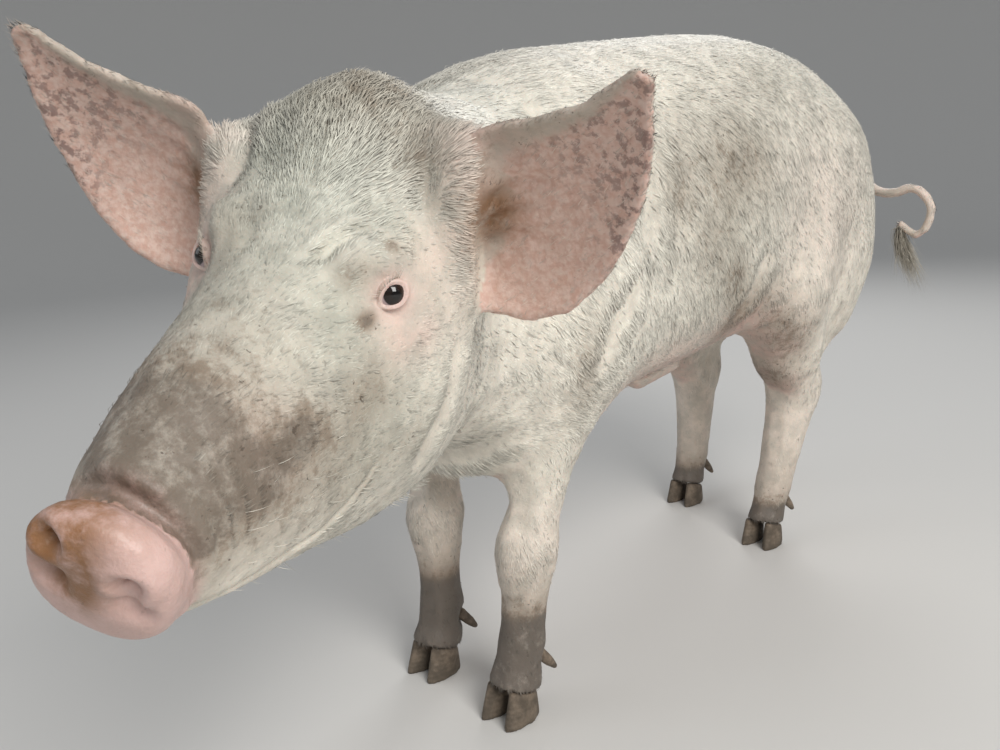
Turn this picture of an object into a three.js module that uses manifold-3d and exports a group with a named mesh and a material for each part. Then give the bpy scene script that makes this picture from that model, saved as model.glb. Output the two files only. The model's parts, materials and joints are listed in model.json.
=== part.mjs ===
// A life-size standing pig, a still model in about forty named solids.
//
// Frame: millimetres, +Z up. The pig faces -Y with its left side towards +X, and stands on z = 0.
// The head is turned to its left and lowered, the ears are spread sideways.
//
// The flesh is one smooth field, a blend of swept sections, round cones and ellipsoids. Each named
// part is the piece of that field inside its own region, so that neighbouring parts share one
// outline and meet at thin flat cuts. Ears, claws and tail tuft are lofts of their own.
import * as THREE from "three";
import { mergeVertices } from "three/addons/utils/BufferGeometryUtils.js";
import Module from "manifold-3d";

const wasm = await Module();
wasm.setup();

// ---------------------------------------------------------------- driving dimensions
const CUT = 0.5; // width of the thin cuts between parts
const SLIVER = 0.15; // points closer than this are one point
const ROUND_TRUNK = 46; // how far trunk, neck and limbs melt into each other
const ROUND_LIMB = 24;
const ROUND_HEAD = 18;

const CELL = { trunk: 48, neck: 39, head: 21, nose: 10, leg: 29, foot: 22, sheath: 20 };

// The back line, belly line and half width of the trunk from breast to rump.
const TRUNK = [
  { at: -360, top: 604, bottom: 340, half: 92 },
  { at: -300, top: 666, bottom: 292, half: 128 },
  { at: -215, top: 702, bottom: 284, half: 150 },
  { at: -110, top: 718, bottom: 308, half: 162 },
  { at: 10, top: 732, bottom: 318, half: 168 },
  { at: 130, top: 745, bottom: 328, half: 166 },
  { at: 230, top: 748, bottom: 354, half: 160 },
  { at: 320, top: 736, bottom: 392, half: 158 },
  { at: 410, top: 700, bottom: 420, half: 154 },
  { at: 505, top: 640, bottom: 430, half: 126 },
];
// How square a section is, above and below its middle: 2 is an ellipse, more is squarer.
const TRUNK_SQUARE = { top: 2.2, bottom: 2.3 };

// The head in its own frame: origin midway between the eyes, snout along -y, +x its left.
const HEAD = { at: [184, -594, 534], yaw: 27.5, pitch: 16, roll: 13.5, size: 0.98 };
const SKULL = [
  { at: -212, top: -34, bottom: -108, half: 37 },
  { at: -185, top: -22, bottom: -124, half: 45 },
  { at: -140, top: -5, bottom: -149, half: 56 },
  { at: -90, top: 6, bottom: -173, half: 67 },
  { at: -45, top: 16, bottom: -200, half: 77 },
  { at: 0, top: 32, bottom: -224, half: 87 },
  { at: 35, top: 50, bottom: -246, half: 93 },
  { at: 70, top: 66, bottom: -254, half: 96 },
  { at: 105, top: 72, bottom: -244, half: 96 },
  { at: 150, top: 64, bottom: -206, half: 90 },
];
const SKULL_SQUARE = { top: 1.8, bottom: 2.5 };
const EYE = { at: [61, -1, -11], radius: 12 };
const NOSE = { at: [3, -221, -71], half: 38, rise: 44, thick: 11, tip: 12, twist: 16 };

// Joint centres of the left legs; the right ones differ a little in their step.
const FORE = {
  shoulder: [100, -225, 500],
  elbow: [92, -242, 350],
  carpus: [70, -272, 186],
  fetlock: [62, -280, 78],
  foot: [60, -296, 30],
};
const HIND = {
  hip: [84, 340, 560],
  stifle: [104, 236, 410],
  hock: [84, 336, 236],
  fetlock: [70, 300, 82],
  foot: [68, 276, 30],
};
const RIGHT_STEP = { fore: [-14, 10], hind: [-52, 84] }; // out and back from the left foot's place

const CLAW = { length: 56, width: 27, height: 40, gap: 4 };
const DEWCLAW = { length: 24, radius: 8 };

// The ears in the head's frame: tip, bow of the midline, and the way the hollow side faces. The left
// tip is carried higher by the lift, both turn right by the swing, and the right root hangs lower.
// Along the leaf: its width, how far it is rolled up in degrees, its thickness and sideways shift.
const EAR = {
  tip: [200, 26, 126],
  bow: [168, 88, 16],
  lift: 16,
  sag: 24,
  swing: 6,
  facing: [-0.2, -1, -0.2],
  leaf: [
    { at: 0, width: 88, roll: 100, thick: 9, skew: 0.22 },
    { at: 0.18, width: 119, roll: 84, thick: 8, skew: 0.09 },
    { at: 0.4, width: 142, roll: 60, thick: 7, skew: -0.06 },
    { at: 0.62, width: 114, roll: 46, thick: 6, skew: -0.09 },
    { at: 0.82, width: 62, roll: 38, thick: 5, skew: -0.03 },
    { at: 1, width: 16, roll: 30, thick: 4, skew: 0 },
  ],
};
// The tail's midline from the rump: back and out to the left, once over and round, and its end.
// Its tuft hangs from that end.
const TAIL = {
  base: [0, 494, 604],
  path: [[14, 548, 598], [56, 578, 566], [108, 574, 520], [140, 566, 515], [171, 564, 523], [199, 563, 490],
    [180, 568, 448], [148, 574, 466]],
  tuft: [[150, 574, 440], [166, 574, 404], [184, 572, 353]],
  root: 16, waist: 8.5, tip: 7, hair: 13,
};

// ---------------------------------------------------------------- small vector helpers
const add = (a, b) => [a[0] + b[0], a[1] + b[1], a[2] + b[2]];
const sub = (a, b) => [a[0] - b[0], a[1] - b[1], a[2] - b[2]];
const scale = (a, s) => [a[0] * s, a[1] * s, a[2] * s];
const dot = (a, b) => a[0] * b[0] + a[1] * b[1] + a[2] * b[2];
const unit = (a) => scale(a, 1 / Math.hypot(...a));
const mix = (a, b, t) => a + (b - a) * t;
const mixPoint = (a, b, t) => add(a, scale(sub(b, a), t));

// ---------------------------------------------------------------- fields: below zero inside
const blend = (a, b, k) => {
  const h = Math.max(k - Math.abs(a - b), 0) / k;
  return Math.min(a, b) - (h * h * k) / 4;
};
const carve = (a, b, k) => -blend(-a, b, k);
const blendAll = (fields, k) => (p) => fields.map((f) => f(p)).reduce((a, b) => blend(a, b, k));

function ellipsoid(centre, radii) {
  const least = Math.min(...radii);
  return (p) => {
    const q = sub(p, centre);
    return (Math.hypot(q[0] / radii[0], q[1] / radii[1], q[2] / radii[2]) - 1) * least;
  };
}

// A cone with a ball at each end.
function roundCone(a, b, ra, rb) {
  const ba = sub(b, a);
  const l2 = dot(ba, ba);
  const rr = ra - rb;
  const a2 = l2 - rr * rr;
  return (p) => {
    const pa = sub(p, a);
    const y = dot(pa, ba);
    const z = y - l2;
    const x = sub(scale(pa, l2), scale(ba, y));
    const x2 = dot(x, x);
    const y2 = y * y * l2;
    const z2 = z * z * l2;
    const k = Math.sign(rr) * rr * rr * x2;
    if (Math.sign(z) * a2 * z2 > k) return Math.sqrt(x2 + z2) / l2 - rb;
    if (Math.sign(y) * a2 * y2 < k) return Math.sqrt(x2 + y2) / l2 - ra;
    return (Math.sqrt((x2 * a2) / l2) + y * rr) / l2 - ra;
  };
}

// Smooth value of one key of a table of stations, by Catmull-Rom between them.
function along(stations, key, at) {
  const last = stations.length - 1;
  let i = 0;
  while (i < last - 1 && at > stations[i + 1].at) i++;
  const s = (k) => stations[Math.min(Math.max(k, 0), last)];
  const [a, b] = [s(i), s(i + 1)];
  const t = Math.min(Math.max((at - a.at) / (b.at - a.at), 0), 1);
  const span = b.at - a.at;
  const slope = (l, r) => (r.at === l.at ? 0 : ((r[key] - l[key]) / (r.at - l.at)) * span);
  const [ma, mb] = [slope(s(i - 1), b), slope(a, s(i + 2))];
  const t2 = t * t;
  const t3 = t2 * t;
  return (
    (2 * t3 - 3 * t2 + 1) * a[key] + (t3 - 2 * t2 + t) * ma + (3 * t2 - 2 * t3) * b[key] + (t3 - t2) * mb
  );
}

// A body swept along y through sections with a top, a bottom and a half width, with round ends.
function sweep(stations, square, endRound) {
  const [first, last] = [stations[0].at, stations[stations.length - 1].at];
  return (p) => {
    const [top, bottom] = [along(stations, "top", p[1]), along(stations, "bottom", p[1])];
    const half = along(stations, "half", p[1]);
    const rise = (top - bottom) / 2;
    const across = Math.abs(p[0]) / half;
    const up = (p[2] - (top + bottom) / 2) / rise;
    const power = up > 0 ? square.top : square.bottom;
    const side = ((across ** power + Math.abs(up) ** power) ** (1 / power) - 1) * Math.min(half, rise);
    return carve(side, -Math.max(first - p[1], p[1] - last), endRound);
  };
}

// ---------------------------------------------------------------- the head's own frame
const headTurn = new THREE.Matrix4()
  .makeTranslation(...HEAD.at)
  .multiply(new THREE.Matrix4().makeRotationZ(THREE.MathUtils.degToRad(HEAD.yaw)))
  .multiply(new THREE.Matrix4().makeRotationX(THREE.MathUtils.degToRad(HEAD.pitch)))
  .multiply(new THREE.Matrix4().makeRotationY(THREE.MathUtils.degToRad(HEAD.roll)))
  .multiply(new THREE.Matrix4().makeScale(HEAD.size, HEAD.size, HEAD.size));
const headInverse = headTurn.clone().invert();
const moved = (p, m) => new THREE.Vector3(...p).applyMatrix4(m).toArray();
const fromHead = (p) => moved(p, headTurn);
const inHead = (field) => {
  const e = headInverse.elements;
  return (p) =>
    field([
      e[0] * p[0] + e[4] * p[1] + e[8] * p[2] + e[12],
      e[1] * p[0] + e[5] * p[1] + e[9] * p[2] + e[13],
      e[2] * p[0] + e[6] * p[1] + e[10] * p[2] + e[14],
    ]) * HEAD.size;
};

const bothSides = (make) => [make(1), make(-1)];

function headField() {
  const skull = sweep(SKULL, SKULL_SQUARE, 16);
  const jaw = blendAll(
    [roundCone([0, -184, -100], [0, -70, -130], 24, 44), roundCone([0, -70, -130], [0, 40, -130], 44, 60)],
    12,
  );
  const cheeks = bothSides((s) => ellipsoid([s * 60, 38, -96], [42, 72, 72]));
  const zygomas = bothSides((s) => ellipsoid([s * 66, 38, -28], [23, 42, 22]));
  const brows = bothSides((s) => ellipsoid([s * 50, 10, 9], [24, 30, 18]));
  const earRoots = bothSides((s) => ellipsoid([s * 85, 78, s > 0 ? 18 : 18 - EAR.sag], [36, 36, s > 0 ? 71 : 64]));
  const base = blendAll([skull, jaw, ...cheeks, ...zygomas, ...brows], ROUND_HEAD);
  const rooted = (p) => earRoots.reduce((d, root) => blend(d, root(p), 22), base(p));
  return inHead(rooted);
}

// The flat disc at the tip of the snout, with its two nostrils.
function noseField() {
  const [cx, cy, cz] = NOSE.at;
  const twist = THREE.MathUtils.degToRad(NOSE.twist);
  const [cos, sin] = [Math.cos(twist), Math.sin(twist)];
  const nostrils = bothSides((s) => ellipsoid([s * 19, cy - NOSE.thick - 2, 2], [6.5, 13, 9]));
  return (p) => {
    const lean = (p[2] - cz) * 0.16;
    const [x, z] = [p[0] - cx, p[2] - cz];
    const q = [x * cos - z * sin, p[1] - cy + lean, x * sin + z * cos];
    const wide = ((Math.abs(q[0]) / NOSE.half) ** 2.4 + (Math.abs(q[2]) / NOSE.rise) ** 2.4) ** (1 / 2.4);
    const bulge = 5 * (1 - wide * wide);
    const edge = carve((wide - 1) * NOSE.rise, -(Math.abs(q[1]) - NOSE.thick - bulge), NOSE.tip);
    return nostrils.reduce((d, hole) => carve(d, hole([q[0], p[1], q[2]]), 5), edge);
  };
}

// ---------------------------------------------------------------- neck, trunk and legs
const POLL = fromHead([0, 104, 8]);
const THROAT = fromHead([0, 76, -128]);

function neckField() {
  return blendAll(
    [roundCone([0, -230, 545], POLL, 118, 74), roundCone([0, -265, 425], THROAT, 104, 74)],
    ROUND_TRUNK,
  );
}

// One limb as round cones between joints, squeezed sideways: a pig's leg is deeper than it is wide.
function limb(joints, radii, squeeze) {
  const wide = (p) => [p[0] * squeeze, p[1], p[2]];
  const bones = joints.slice(1).map((b, i) => roundCone(wide(joints[i]), wide(b), radii[i], radii[i + 1]));
  const whole = blendAll(bones, ROUND_LIMB / 2);
  return (p) => whole(wide(p)) / squeeze;
}

// The joints of one leg. On the right the step grows from nothing at the body to all at the foot.
function jointsOf(leg, [out, back], side) {
  const place = ([x, y, z]) => {
    const share = side > 0 ? 0 : THREE.MathUtils.smoothstep(480 - z, 0, 450);
    return [side * (x - out * share), y + back * share, z];
  };
  return Object.fromEntries(Object.entries(leg).map(([name, p]) => [name, place(p)]));
}
const foreJoints = (side) => jointsOf(FORE, RIGHT_STEP.fore, side);
const hindJoints = (side) => jointsOf(HIND, RIGHT_STEP.hind, side);

function foreField(side) {
  const j = foreJoints(side);
  const heel = add(j.foot, [0, 12, 4]);
  const knee = ellipsoid(add(j.carpus, [0, -4, 0]), [25, 31, 36]);
  return blendAll(
    [
      limb([j.shoulder, j.elbow, j.carpus], [84, 47, 29], 1.3),
      limb([j.carpus, j.fetlock, j.foot, heel], [27, 26, 28, 26], 1.05),
      knee,
    ],
    ROUND_LIMB,
  );
}

function hindField(side) {
  const j = hindJoints(side);
  const heel = add(j.foot, [0, 12, 4]);
  const point = add(j.hock, [0, 26, 26]);
  const ham = ellipsoid([side * 82, 394, 468], [78, 148, 166]);
  return blendAll(
    [
      ham,
      limb([j.hip, j.stifle], [96, 82], 1.2),
      limb([j.stifle, mixPoint(j.stifle, j.hock, 0.55), j.hock], [78, 64, 38], 1.3),
      limb([[side * 84, 454, 460], [side * 86, 424, 350], point], [68, 48, 17], 1.3),
      limb([point, j.hock, j.fetlock, j.foot, heel], [17, 40, 28, 27, 24], 1.08),
    ],
    ROUND_LIMB,
  );
}

function trunkField() {
  const barrel = sweep(TRUNK, TRUNK_SQUARE, 70);
  const blades = bothSides((s) => ellipsoid([s * 96, -222, 498], [62, 92, 150]));
  const brisket = ellipsoid([0, -312, 372], [92, 74, 100]);
  return blendAll([barrel, ...blades, brisket], ROUND_TRUNK);
}

function sheathField() {
  return roundCone([0, 110, 318], [0, 30, 300], 24, 16);
}

const fields = {
  trunk: trunkField(),
  neck: neckField(),
  head: headField(),
  fore: { left: foreField(1), right: foreField(-1) },
  hind: { left: hindField(1), right: hindField(-1) },
  sheath: sheathField(),
};

function flesh(p) {
  let d = blend(fields.trunk(p), fields.neck(p), ROUND_TRUNK);
  if (p[1] < -60) for (const f of Object.values(fields.fore)) d = blend(d, f(p), ROUND_LIMB);
  if (p[1] > 60) for (const f of Object.values(fields.hind)) d = blend(d, f(p), ROUND_LIMB);
  if (p[1] < -250) d = blend(d, fields.head(p), ROUND_LIMB * 1.5);
  return blend(d, fields.sheath(p), 10);
}

// ---------------------------------------------------------------- from a field to a closed mesh
// One vertex in each cell that the surface crosses, moved onto the surface, and one quad across
// each crossed grid edge.
function polygonize(field, lo, hi, cell) {
  const n = [0, 1, 2].map((i) => Math.ceil((hi[i] - lo[i]) / cell) + 1);
  const at = (i, j, k) => [lo[0] + i * cell, lo[1] + j * cell, lo[2] + k * cell];
  const id = (i, j, k) => (i * n[1] + j) * n[2] + k;
  const onShell = (i, j, k) => [i, j, k].some((v, a) => v === 0 || v === n[a] - 1);
  const value = new Float64Array(n[0] * n[1] * n[2]);
  for (let i = 0; i < n[0]; i++)
    for (let j = 0; j < n[1]; j++)
      for (let k = 0; k < n[2]; k++) {
        const v = field(at(i, j, k));
        value[id(i, j, k)] = onShell(i, j, k) ? Math.max(v, cell * 0.2) : v;
      }
  const slopeAt = (p) => {
    const e = cell * 0.05;
    return [0, 1, 2].map((a) => {
      const step = [0, 0, 0];
      step[a] = e;
      return (field(add(p, step)) - field(sub(p, step))) / (2 * e);
    });
  };
  const vertices = [];
  const vertexOf = new Map();
  const corners = [0, 1, 2, 3, 4, 5, 6, 7].map((c) => [c & 1, (c >> 1) & 1, (c >> 2) & 1]);
  const apart = (a, b) => a.reduce((sum, v, axis) => sum + Math.abs(v - b[axis]), 0);
  const edges = corners.flatMap((a, i) =>
    corners.slice(i + 1).filter((b) => apart(a, b) === 1).map((b) => [a, b]),
  );
  for (let i = 0; i < n[0] - 1; i++)
    for (let j = 0; j < n[1] - 1; j++)
      for (let k = 0; k < n[2] - 1; k++) {
        let sum = [0, 0, 0];
        let count = 0;
        for (const [a, b] of edges) {
          const [from, to] = [add([i, j, k], a), add([i, j, k], b)];
          const [va, vb] = [value[id(...from)], value[id(...to)]];
          if (va < 0 === vb < 0) continue;
          sum = add(sum, mixPoint(at(...from), at(...to), va / (va - vb)));
          count++;
        }
        if (!count) continue;
        const start = scale(sum, 1 / count);
        let p = start;
        const inside = ![i, j, k].some((v, a) => v === 0 || v === n[a] - 2);
        for (let turn = 0; inside && turn < 3; turn++) {
          const g = slopeAt(p);
          const size = dot(g, g);
          if (size > 1e-6) p = sub(p, scale(g, field(p) / size));
        }
        const off = Math.hypot(...sub(p, start));
        vertexOf.set(id(i, j, k), vertices.length);
        vertices.push(mixPoint(start, p, Math.min(1, (cell * 0.45) / (off + 1e-9))));
      }
  const triangles = [];
  const quad = (a, b, c, d, turned) => {
    const [p, q, r, s] = turned ? [d, c, b, a] : [a, b, c, d];
    triangles.push(p, q, r, p, r, s);
  };
  for (let i = 0; i < n[0] - 1; i++)
    for (let j = 0; j < n[1] - 1; j++)
      for (let k = 0; k < n[2] - 1; k++) {
        const here = value[id(i, j, k)] < 0;
        const crossed = (a, b, c) => here !== value[id(i + a, j + b, k + c)] < 0;
        const v = (a, b, c) => vertexOf.get(id(i + a, j + b, k + c));
        if (crossed(1, 0, 0)) quad(v(0, -1, -1), v(0, 0, -1), v(0, 0, 0), v(0, -1, 0), !here);
        if (crossed(0, 1, 0)) quad(v(-1, 0, -1), v(-1, 0, 0), v(0, 0, 0), v(0, 0, -1), !here);
        if (crossed(0, 0, 1)) quad(v(-1, -1, 0), v(0, -1, 0), v(0, 0, 0), v(-1, 0, 0), !here);
      }
  return solid(vertices, triangles);
}

// ---------------------------------------------------------------- solids: joining and cutting
function solid(vertices, triangles) {
  const volume = triangles.reduce((v, _, t) => {
    if (t % 3) return v;
    const [a, b, c] = [0, 1, 2].map((k) => vertices[triangles[t + k]]);
    return v + dot(a, [b[1] * c[2] - b[2] * c[1], b[2] * c[0] - b[0] * c[2], b[0] * c[1] - b[1] * c[0]]);
  }, 0);
  const order = volume < 0 ? triangles.slice().reverse() : triangles;
  const vertProperties = new Float32Array(vertices.flat());
  return new wasm.Manifold(new wasm.Mesh({ numProp: 3, vertProperties, triVerts: new Uint32Array(order) }));
}

function solidOf(geometry, matrix = new THREE.Matrix4()) {
  const bare = (geometry.index ? geometry.toNonIndexed() : geometry.clone()).applyMatrix4(matrix);
  const points = new THREE.BufferGeometry().setAttribute("position", bare.getAttribute("position"));
  const merged = mergeVertices(points, 1e-3);
  const p = merged.attributes.position;
  const vertices = Array.from({ length: p.count }, (_, i) => [p.getX(i), p.getY(i), p.getZ(i)]);
  return solid(vertices, Array.from(merged.index.array));
}

// A closed body through rings of equal count. Each end is closed by strips from side to side.
function loft(rings) {
  const n = rings[0].length;
  const triangles = [];
  for (let r = 0; r + 1 < rings.length; r++)
    for (let i = 0; i < n; i++) {
      const [a, b] = [r * n + i, r * n + ((i + 1) % n)];
      triangles.push(a, b, b + n, a, b + n, a + n);
    }
  const end = (rings.length - 1) * n;
  for (let i = 0; i < n / 2 - 1; i++) {
    const [a, b, c, d] = [i, i + 1, n - 2 - i, n - 1 - i];
    triangles.push(a, c, b, a, d, c, end + a, end + b, end + c, end + a, end + c, end + d);
  }
  return solid(rings.flat(), triangles);
}

// A large block on the side of a plane that its normal points to, some way off from the plane.
const BLOCK = 1600;
function beyond({ point, normal }, off = CUT / 2) {
  const n = unit(normal);
  const [up, towards] = [new THREE.Vector3(0, 0, 1), new THREE.Vector3(...n)];
  const turn = new THREE.Quaternion().setFromUnitVectors(up, towards);
  const centre = new THREE.Vector3(...add(point, scale(n, BLOCK / 2 + off)));
  const place = new THREE.Matrix4().compose(centre, turn, new THREE.Vector3(1, 1, 1));
  return solidOf(new THREE.BoxGeometry(BLOCK, BLOCK, BLOCK), place);
}
const behind = ({ point, normal }, off = CUT / 2) => beyond({ point, normal: scale(normal, -1) }, off);
const common = (...bodies) => bodies.reduce((a, b) => a.intersect(b));
const largest = (body) => body.decompose().sort((a, b) => b.volume() - a.volume())[0];

// ---------------------------------------------------------------- where the flesh is parted
const headAxis = (v) => unit(sub(fromHead(v), fromHead([0, 0, 0])));
const NAPE = { point: [0, 112, 0], normal: [0, -1, 0.28] }; // in the head's frame, facing the snout
const MOUTH = { point: [0, -205, -101], normal: [0, 0.02, -1] };
const JAW_END = { point: [0, -20, -99], normal: [0, -1, -0.5] };
const SNOUT = { point: [0, -208, -69], normal: [0, -1, -0.12] };
const EAR_CUTS = [1, -1].map((s) => ({ point: [s * 98, 86, 6], normal: [s, 0.05, 0.12] }));
const NECK_CUT = { point: fromHead(NAPE.point), normal: headAxis(NAPE.normal) };
const SHOULDER = { point: [0, -322, 500], normal: unit([0.16, -1, 0.1]) };
const CHEST = { point: [0, -75, 400], normal: [0, 1, 0] };
const LOIN = { point: [0, 185, 400], normal: unit([0, 1, 0.12]) };

// Each leg's own region: under a cut that rises outwards, beside the midline, between two planes.
const LEG_REGION = {
  fore: { corner: [20, 244], rise: 0.75, front: { at: -340, lean: -0.3 }, back: { at: -96, lean: -0.1 } },
  hind: { corner: [16, 322], rise: 0.95, front: { at: 160, lean: -0.1 }, back: { at: 580, lean: 0 } },
};
function legBlock(kind, side, off) {
  const { corner, rise, front, back } = LEG_REGION[kind];
  const [x, z] = corner;
  const planes = [
    { point: [side * x, 0, z], normal: [side * rise, 0, -1] },
    { point: [side * x * 0.4, 0, 0], normal: [side, 0, 0.04] },
    { point: [0, front.at, z], normal: [0, 1, front.lean] },
    { point: [0, back.at, z], normal: [0, -1, back.lean] },
  ];
  return common(...planes.map((plane) => beyond(plane, off)));
}

// ---------------------------------------------------------------- the flesh parts
function headParts() {
  const local = (field) => (p) => field(fromHead(p));
  const own = local(flesh);
  const body = polygonize(own, [-152, -232, -205], [152, 170, 120], CELL.head);
  const disc = noseField();
  const nose = polygonize((p) => blend(own(p), disc(p), 9), [-62, -246, -122], [62, -192, -18], CELL.nose);
  const sockets = [1, -1].map((s) => eyeBall(s, EYE.radius + CUT));
  const front = common(body, beyond(NAPE), behind(SNOUT), ...EAR_CUTS.map((cut) => behind(cut)));
  const mouth = (off) => common(beyond(MOUTH, off), beyond(JAW_END, off));
  return {
    head: largest(sockets.reduce((b, socket) => b.subtract(socket), front.subtract(mouth(-CUT / 2)))),
    lower_jaw: largest(common(front, mouth(CUT / 2))),
    snout_disc: largest(common(nose, beyond(SNOUT))),
  };
}

function eyeBall(side, radius) {
  const [x, y, z] = EYE.at;
  const place = new THREE.Matrix4().makeTranslation(side * x, y, z);
  return solidOf(new THREE.SphereGeometry(radius, 10, 8), place);
}

function trunkParts() {
  const body = polygonize(flesh, [-240, -470, 225], [240, 570, 800], CELL.trunk);
  const legs = ["fore", "hind"].flatMap((kind) => [1, -1].map((side) => legBlock(kind, side, -CUT / 2)));
  const bare = legs.reduce((b, leg) => b.subtract(leg), body);
  return {
    shoulders: largest(common(bare, behind(SHOULDER), behind(CHEST))),
    barrel: largest(common(bare, beyond(CHEST), behind(LOIN)).subtract(sheathBlock(CUT / 2))),
    rump: largest(common(bare, beyond(LOIN)).subtract(tailSocket())),
  };
}

// The round socket for the root of the tail, straight back from its base.
function tailSocket() {
  const [radius, depth] = [TAIL.root + 4, 80];
  const place = new THREE.Matrix4().makeTranslation(...add(TAIL.base, [0, depth / 2, 0]));
  return solidOf(new THREE.CylinderGeometry(radius, radius, depth, 12), place);
}

// The fold of skin under the belly, cut out of the barrel as a small part of its own.
function sheathBlock(grow) {
  const [x, y, z] = [80, 150, 46].map((size) => size + 2 * grow);
  return solidOf(new THREE.BoxGeometry(x, y, z), new THREE.Matrix4().makeTranslation(0, 66, 285));
}
function sheathPart() {
  const body = polygonize(flesh, [-64, -40, 246], [64, 170, 346], CELL.sheath);
  return largest(common(body, sheathBlock(-CUT / 2)));
}

function neckPart() {
  const body = polygonize(flesh, [-170, -640, 300], [270, -250, 760], CELL.neck);
  const legs = [1, -1].map((side) => legBlock("fore", side, -CUT / 2));
  const parted = common(body, behind(NECK_CUT), beyond(SHOULDER));
  return largest(legs.reduce((b, leg) => b.subtract(leg), parted));
}

function legParts(name, side, kind) {
  const j = (kind === "fore" ? foreJoints : hindJoints)(side);
  const y = kind === "fore" ? [-390, -50] : [150, 590];
  const x = side > 0 ? [-30, 225] : [-225, 30];
  const region = legBlock(kind, side, CUT / 2);
  const body = polygonize(flesh, [x[0], y[0], 2], [x[1], y[1], 620], CELL.leg);
  const fine = polygonize(flesh, [x[0], y[0], 2], [x[1], y[1], 260], CELL.foot);
  const joint = kind === "fore" ? add(j.carpus, [0, 0, -30]) : add(j.hock, [0, 0, -38]);
  const shank = { point: joint, normal: unit(sub(j.fetlock, joint)) };
  const coronet = { point: [j.foot[0], j.foot[1], CLAW.height - 6], normal: [0, 0.3, 1] };
  const foot = common(fine, region, beyond(shank), beyond(coronet));
  const sockets = Object.values(dewclawParts(j.fetlock, j.foot, CUT));
  const parts = {
    leg: largest(common(body, region, behind(shank))),
    foot: largest(sockets.reduce((b, socket) => b.subtract(socket), foot)),
    ...clawParts(j.foot, coronet),
    ...dewclawParts(j.fetlock, j.foot, 0),
  };
  return Object.fromEntries(Object.entries(parts).map(([part, b]) => [`${name}_${kind}_${part}`, b]));
}

// ---------------------------------------------------------------- claws
// Two main claws side by side, with flat soles on the ground and a sloping front wall.
function clawParts(foot, coronet) {
  const { length, width, height, gap } = CLAW;
  const rings = (s) =>
    [0, 1].map((t) => {
      const reach = mix(length, length * 0.72, t);
      const half = mix(width, width * 0.9, t) / 2;
      const heel = foot[1] + mix(22, 20, t);
      return Array.from({ length: 10 }, (_, i) => {
        const angle = (i / 10) * 2 * Math.PI;
        const forward = (1 - Math.cos(angle)) / 2;
        const taper = 1 - 0.3 * forward ** 2.6;
        const x = foot[0] + s * (gap / 2 + half + forward * 2) + Math.sin(angle) * half * taper;
        const y = heel - forward * reach;
        const top = height - 6 - (coronet.normal[1] / coronet.normal[2]) * (y - foot[1]) - CUT;
        return [x, y, t * top];
      });
    });
  return { outer_claw: loft(rings(Math.sign(foot[0]))), inner_claw: loft(rings(-Math.sign(foot[0]))) };
}

// Two small claws behind and above, clear of the ground, their roots set into the flesh.
function dewclawParts(fetlock, foot, grow) {
  const make = (s) => {
    const root = [foot[0] + s * 15, fetlock[1] + 16, 62];
    const rings = [-0.2 - grow / 20, 0.5, 1 + grow / 20].map((t) => {
      const radius = mix(DEWCLAW.radius, 3.6, Math.max(t, 0) ** 2) + grow;
      const centre = add(root, [s * 4 * t, 20 * t, -DEWCLAW.length * t]);
      return Array.from({ length: 6 }, (_, i) => {
        const angle = (i / 6) * 2 * Math.PI;
        const [c, d] = [Math.cos(angle) * radius, Math.sin(angle) * radius];
        return add(centre, [c, d * 0.77, d * 0.64]);
      });
    });
    return loft(rings);
  };
  return { outer_dewclaw: make(Math.sign(foot[0])), inner_dewclaw: make(-Math.sign(foot[0])) };
}

// ---------------------------------------------------------------- ears and tail
// One ear as a thin leaf: rolled into a tube at the root, opening towards the snout, flat at the tip.
function earPart(side) {
  const cut = EAR_CUTS[side > 0 ? 0 : 1];
  const sag = side < 0 ? EAR.sag : 0;
  const from = new THREE.Vector3(...cut.point).setZ(cut.point[2] - sag);
  const to = new THREE.Vector3(side * EAR.tip[0] - EAR.swing, EAR.tip[1], EAR.tip[2] + side * EAR.lift);
  const bow = new THREE.Vector3(side * EAR.bow[0], EAR.bow[1], EAR.bow[2] - 0.8 * sag);
  const spine = new THREE.QuadraticBezierCurve3(from, bow, to);
  const facing = new THREE.Vector3(side * EAR.facing[0], EAR.facing[1], EAR.facing[2]).normalize();
  const rows = 9;
  const columns = 8;
  const rings = Array.from({ length: rows }, (_, r) => {
    const t = mix(-0.14, 1, r / (rows - 1));
    const centre = spine.getPoint(t);
    const ahead = spine.getTangent(t);
    const across = new THREE.Vector3().crossVectors(ahead, facing).normalize().multiplyScalar(side);
    const front = new THREE.Vector3().crossVectors(across, ahead).normalize().multiplyScalar(side);
    const width = along(EAR.leaf, "width", t);
    const roll = THREE.MathUtils.degToRad(along(EAR.leaf, "roll", t));
    const thick = along(EAR.leaf, "thick", t);
    const radius = width / roll;
    const skew = along(EAR.leaf, "skew", t);
    const onLeaf = (v, off) => {
      const a = (v * roll) / 2;
      const q = centre.clone();
      q.addScaledVector(across, Math.sin(a) * (radius + off) + skew * width);
      return q.addScaledVector(front, radius - Math.cos(a) * (radius + off)).toArray();
    };
    const list = Array.from({ length: columns }, (_, c) => (c / (columns - 1)) * 2 - 1);
    const outside = list.map((v) => onLeaf(v, thick / 2));
    const inside = list.map((v) => onLeaf(v, -thick / 2)).reverse();
    return [...outside, ...inside];
  });
  return largest(common(loft(rings), beyond(cut)));
}

function tube(curve, radius, steps, sides) {
  const frames = curve.computeFrenetFrames(steps, false);
  return Array.from({ length: steps + 1 }, (_, s) => {
    const t = s / steps;
    const centre = curve.getPointAt(t);
    return Array.from({ length: sides }, (_, i) => {
      const angle = (i / sides) * 2 * Math.PI;
      const q = centre.clone().addScaledVector(frames.normals[s], Math.cos(angle) * radius(t));
      return q.addScaledVector(frames.binormals[s], Math.sin(angle) * radius(t)).toArray();
    });
  });
}

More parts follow.
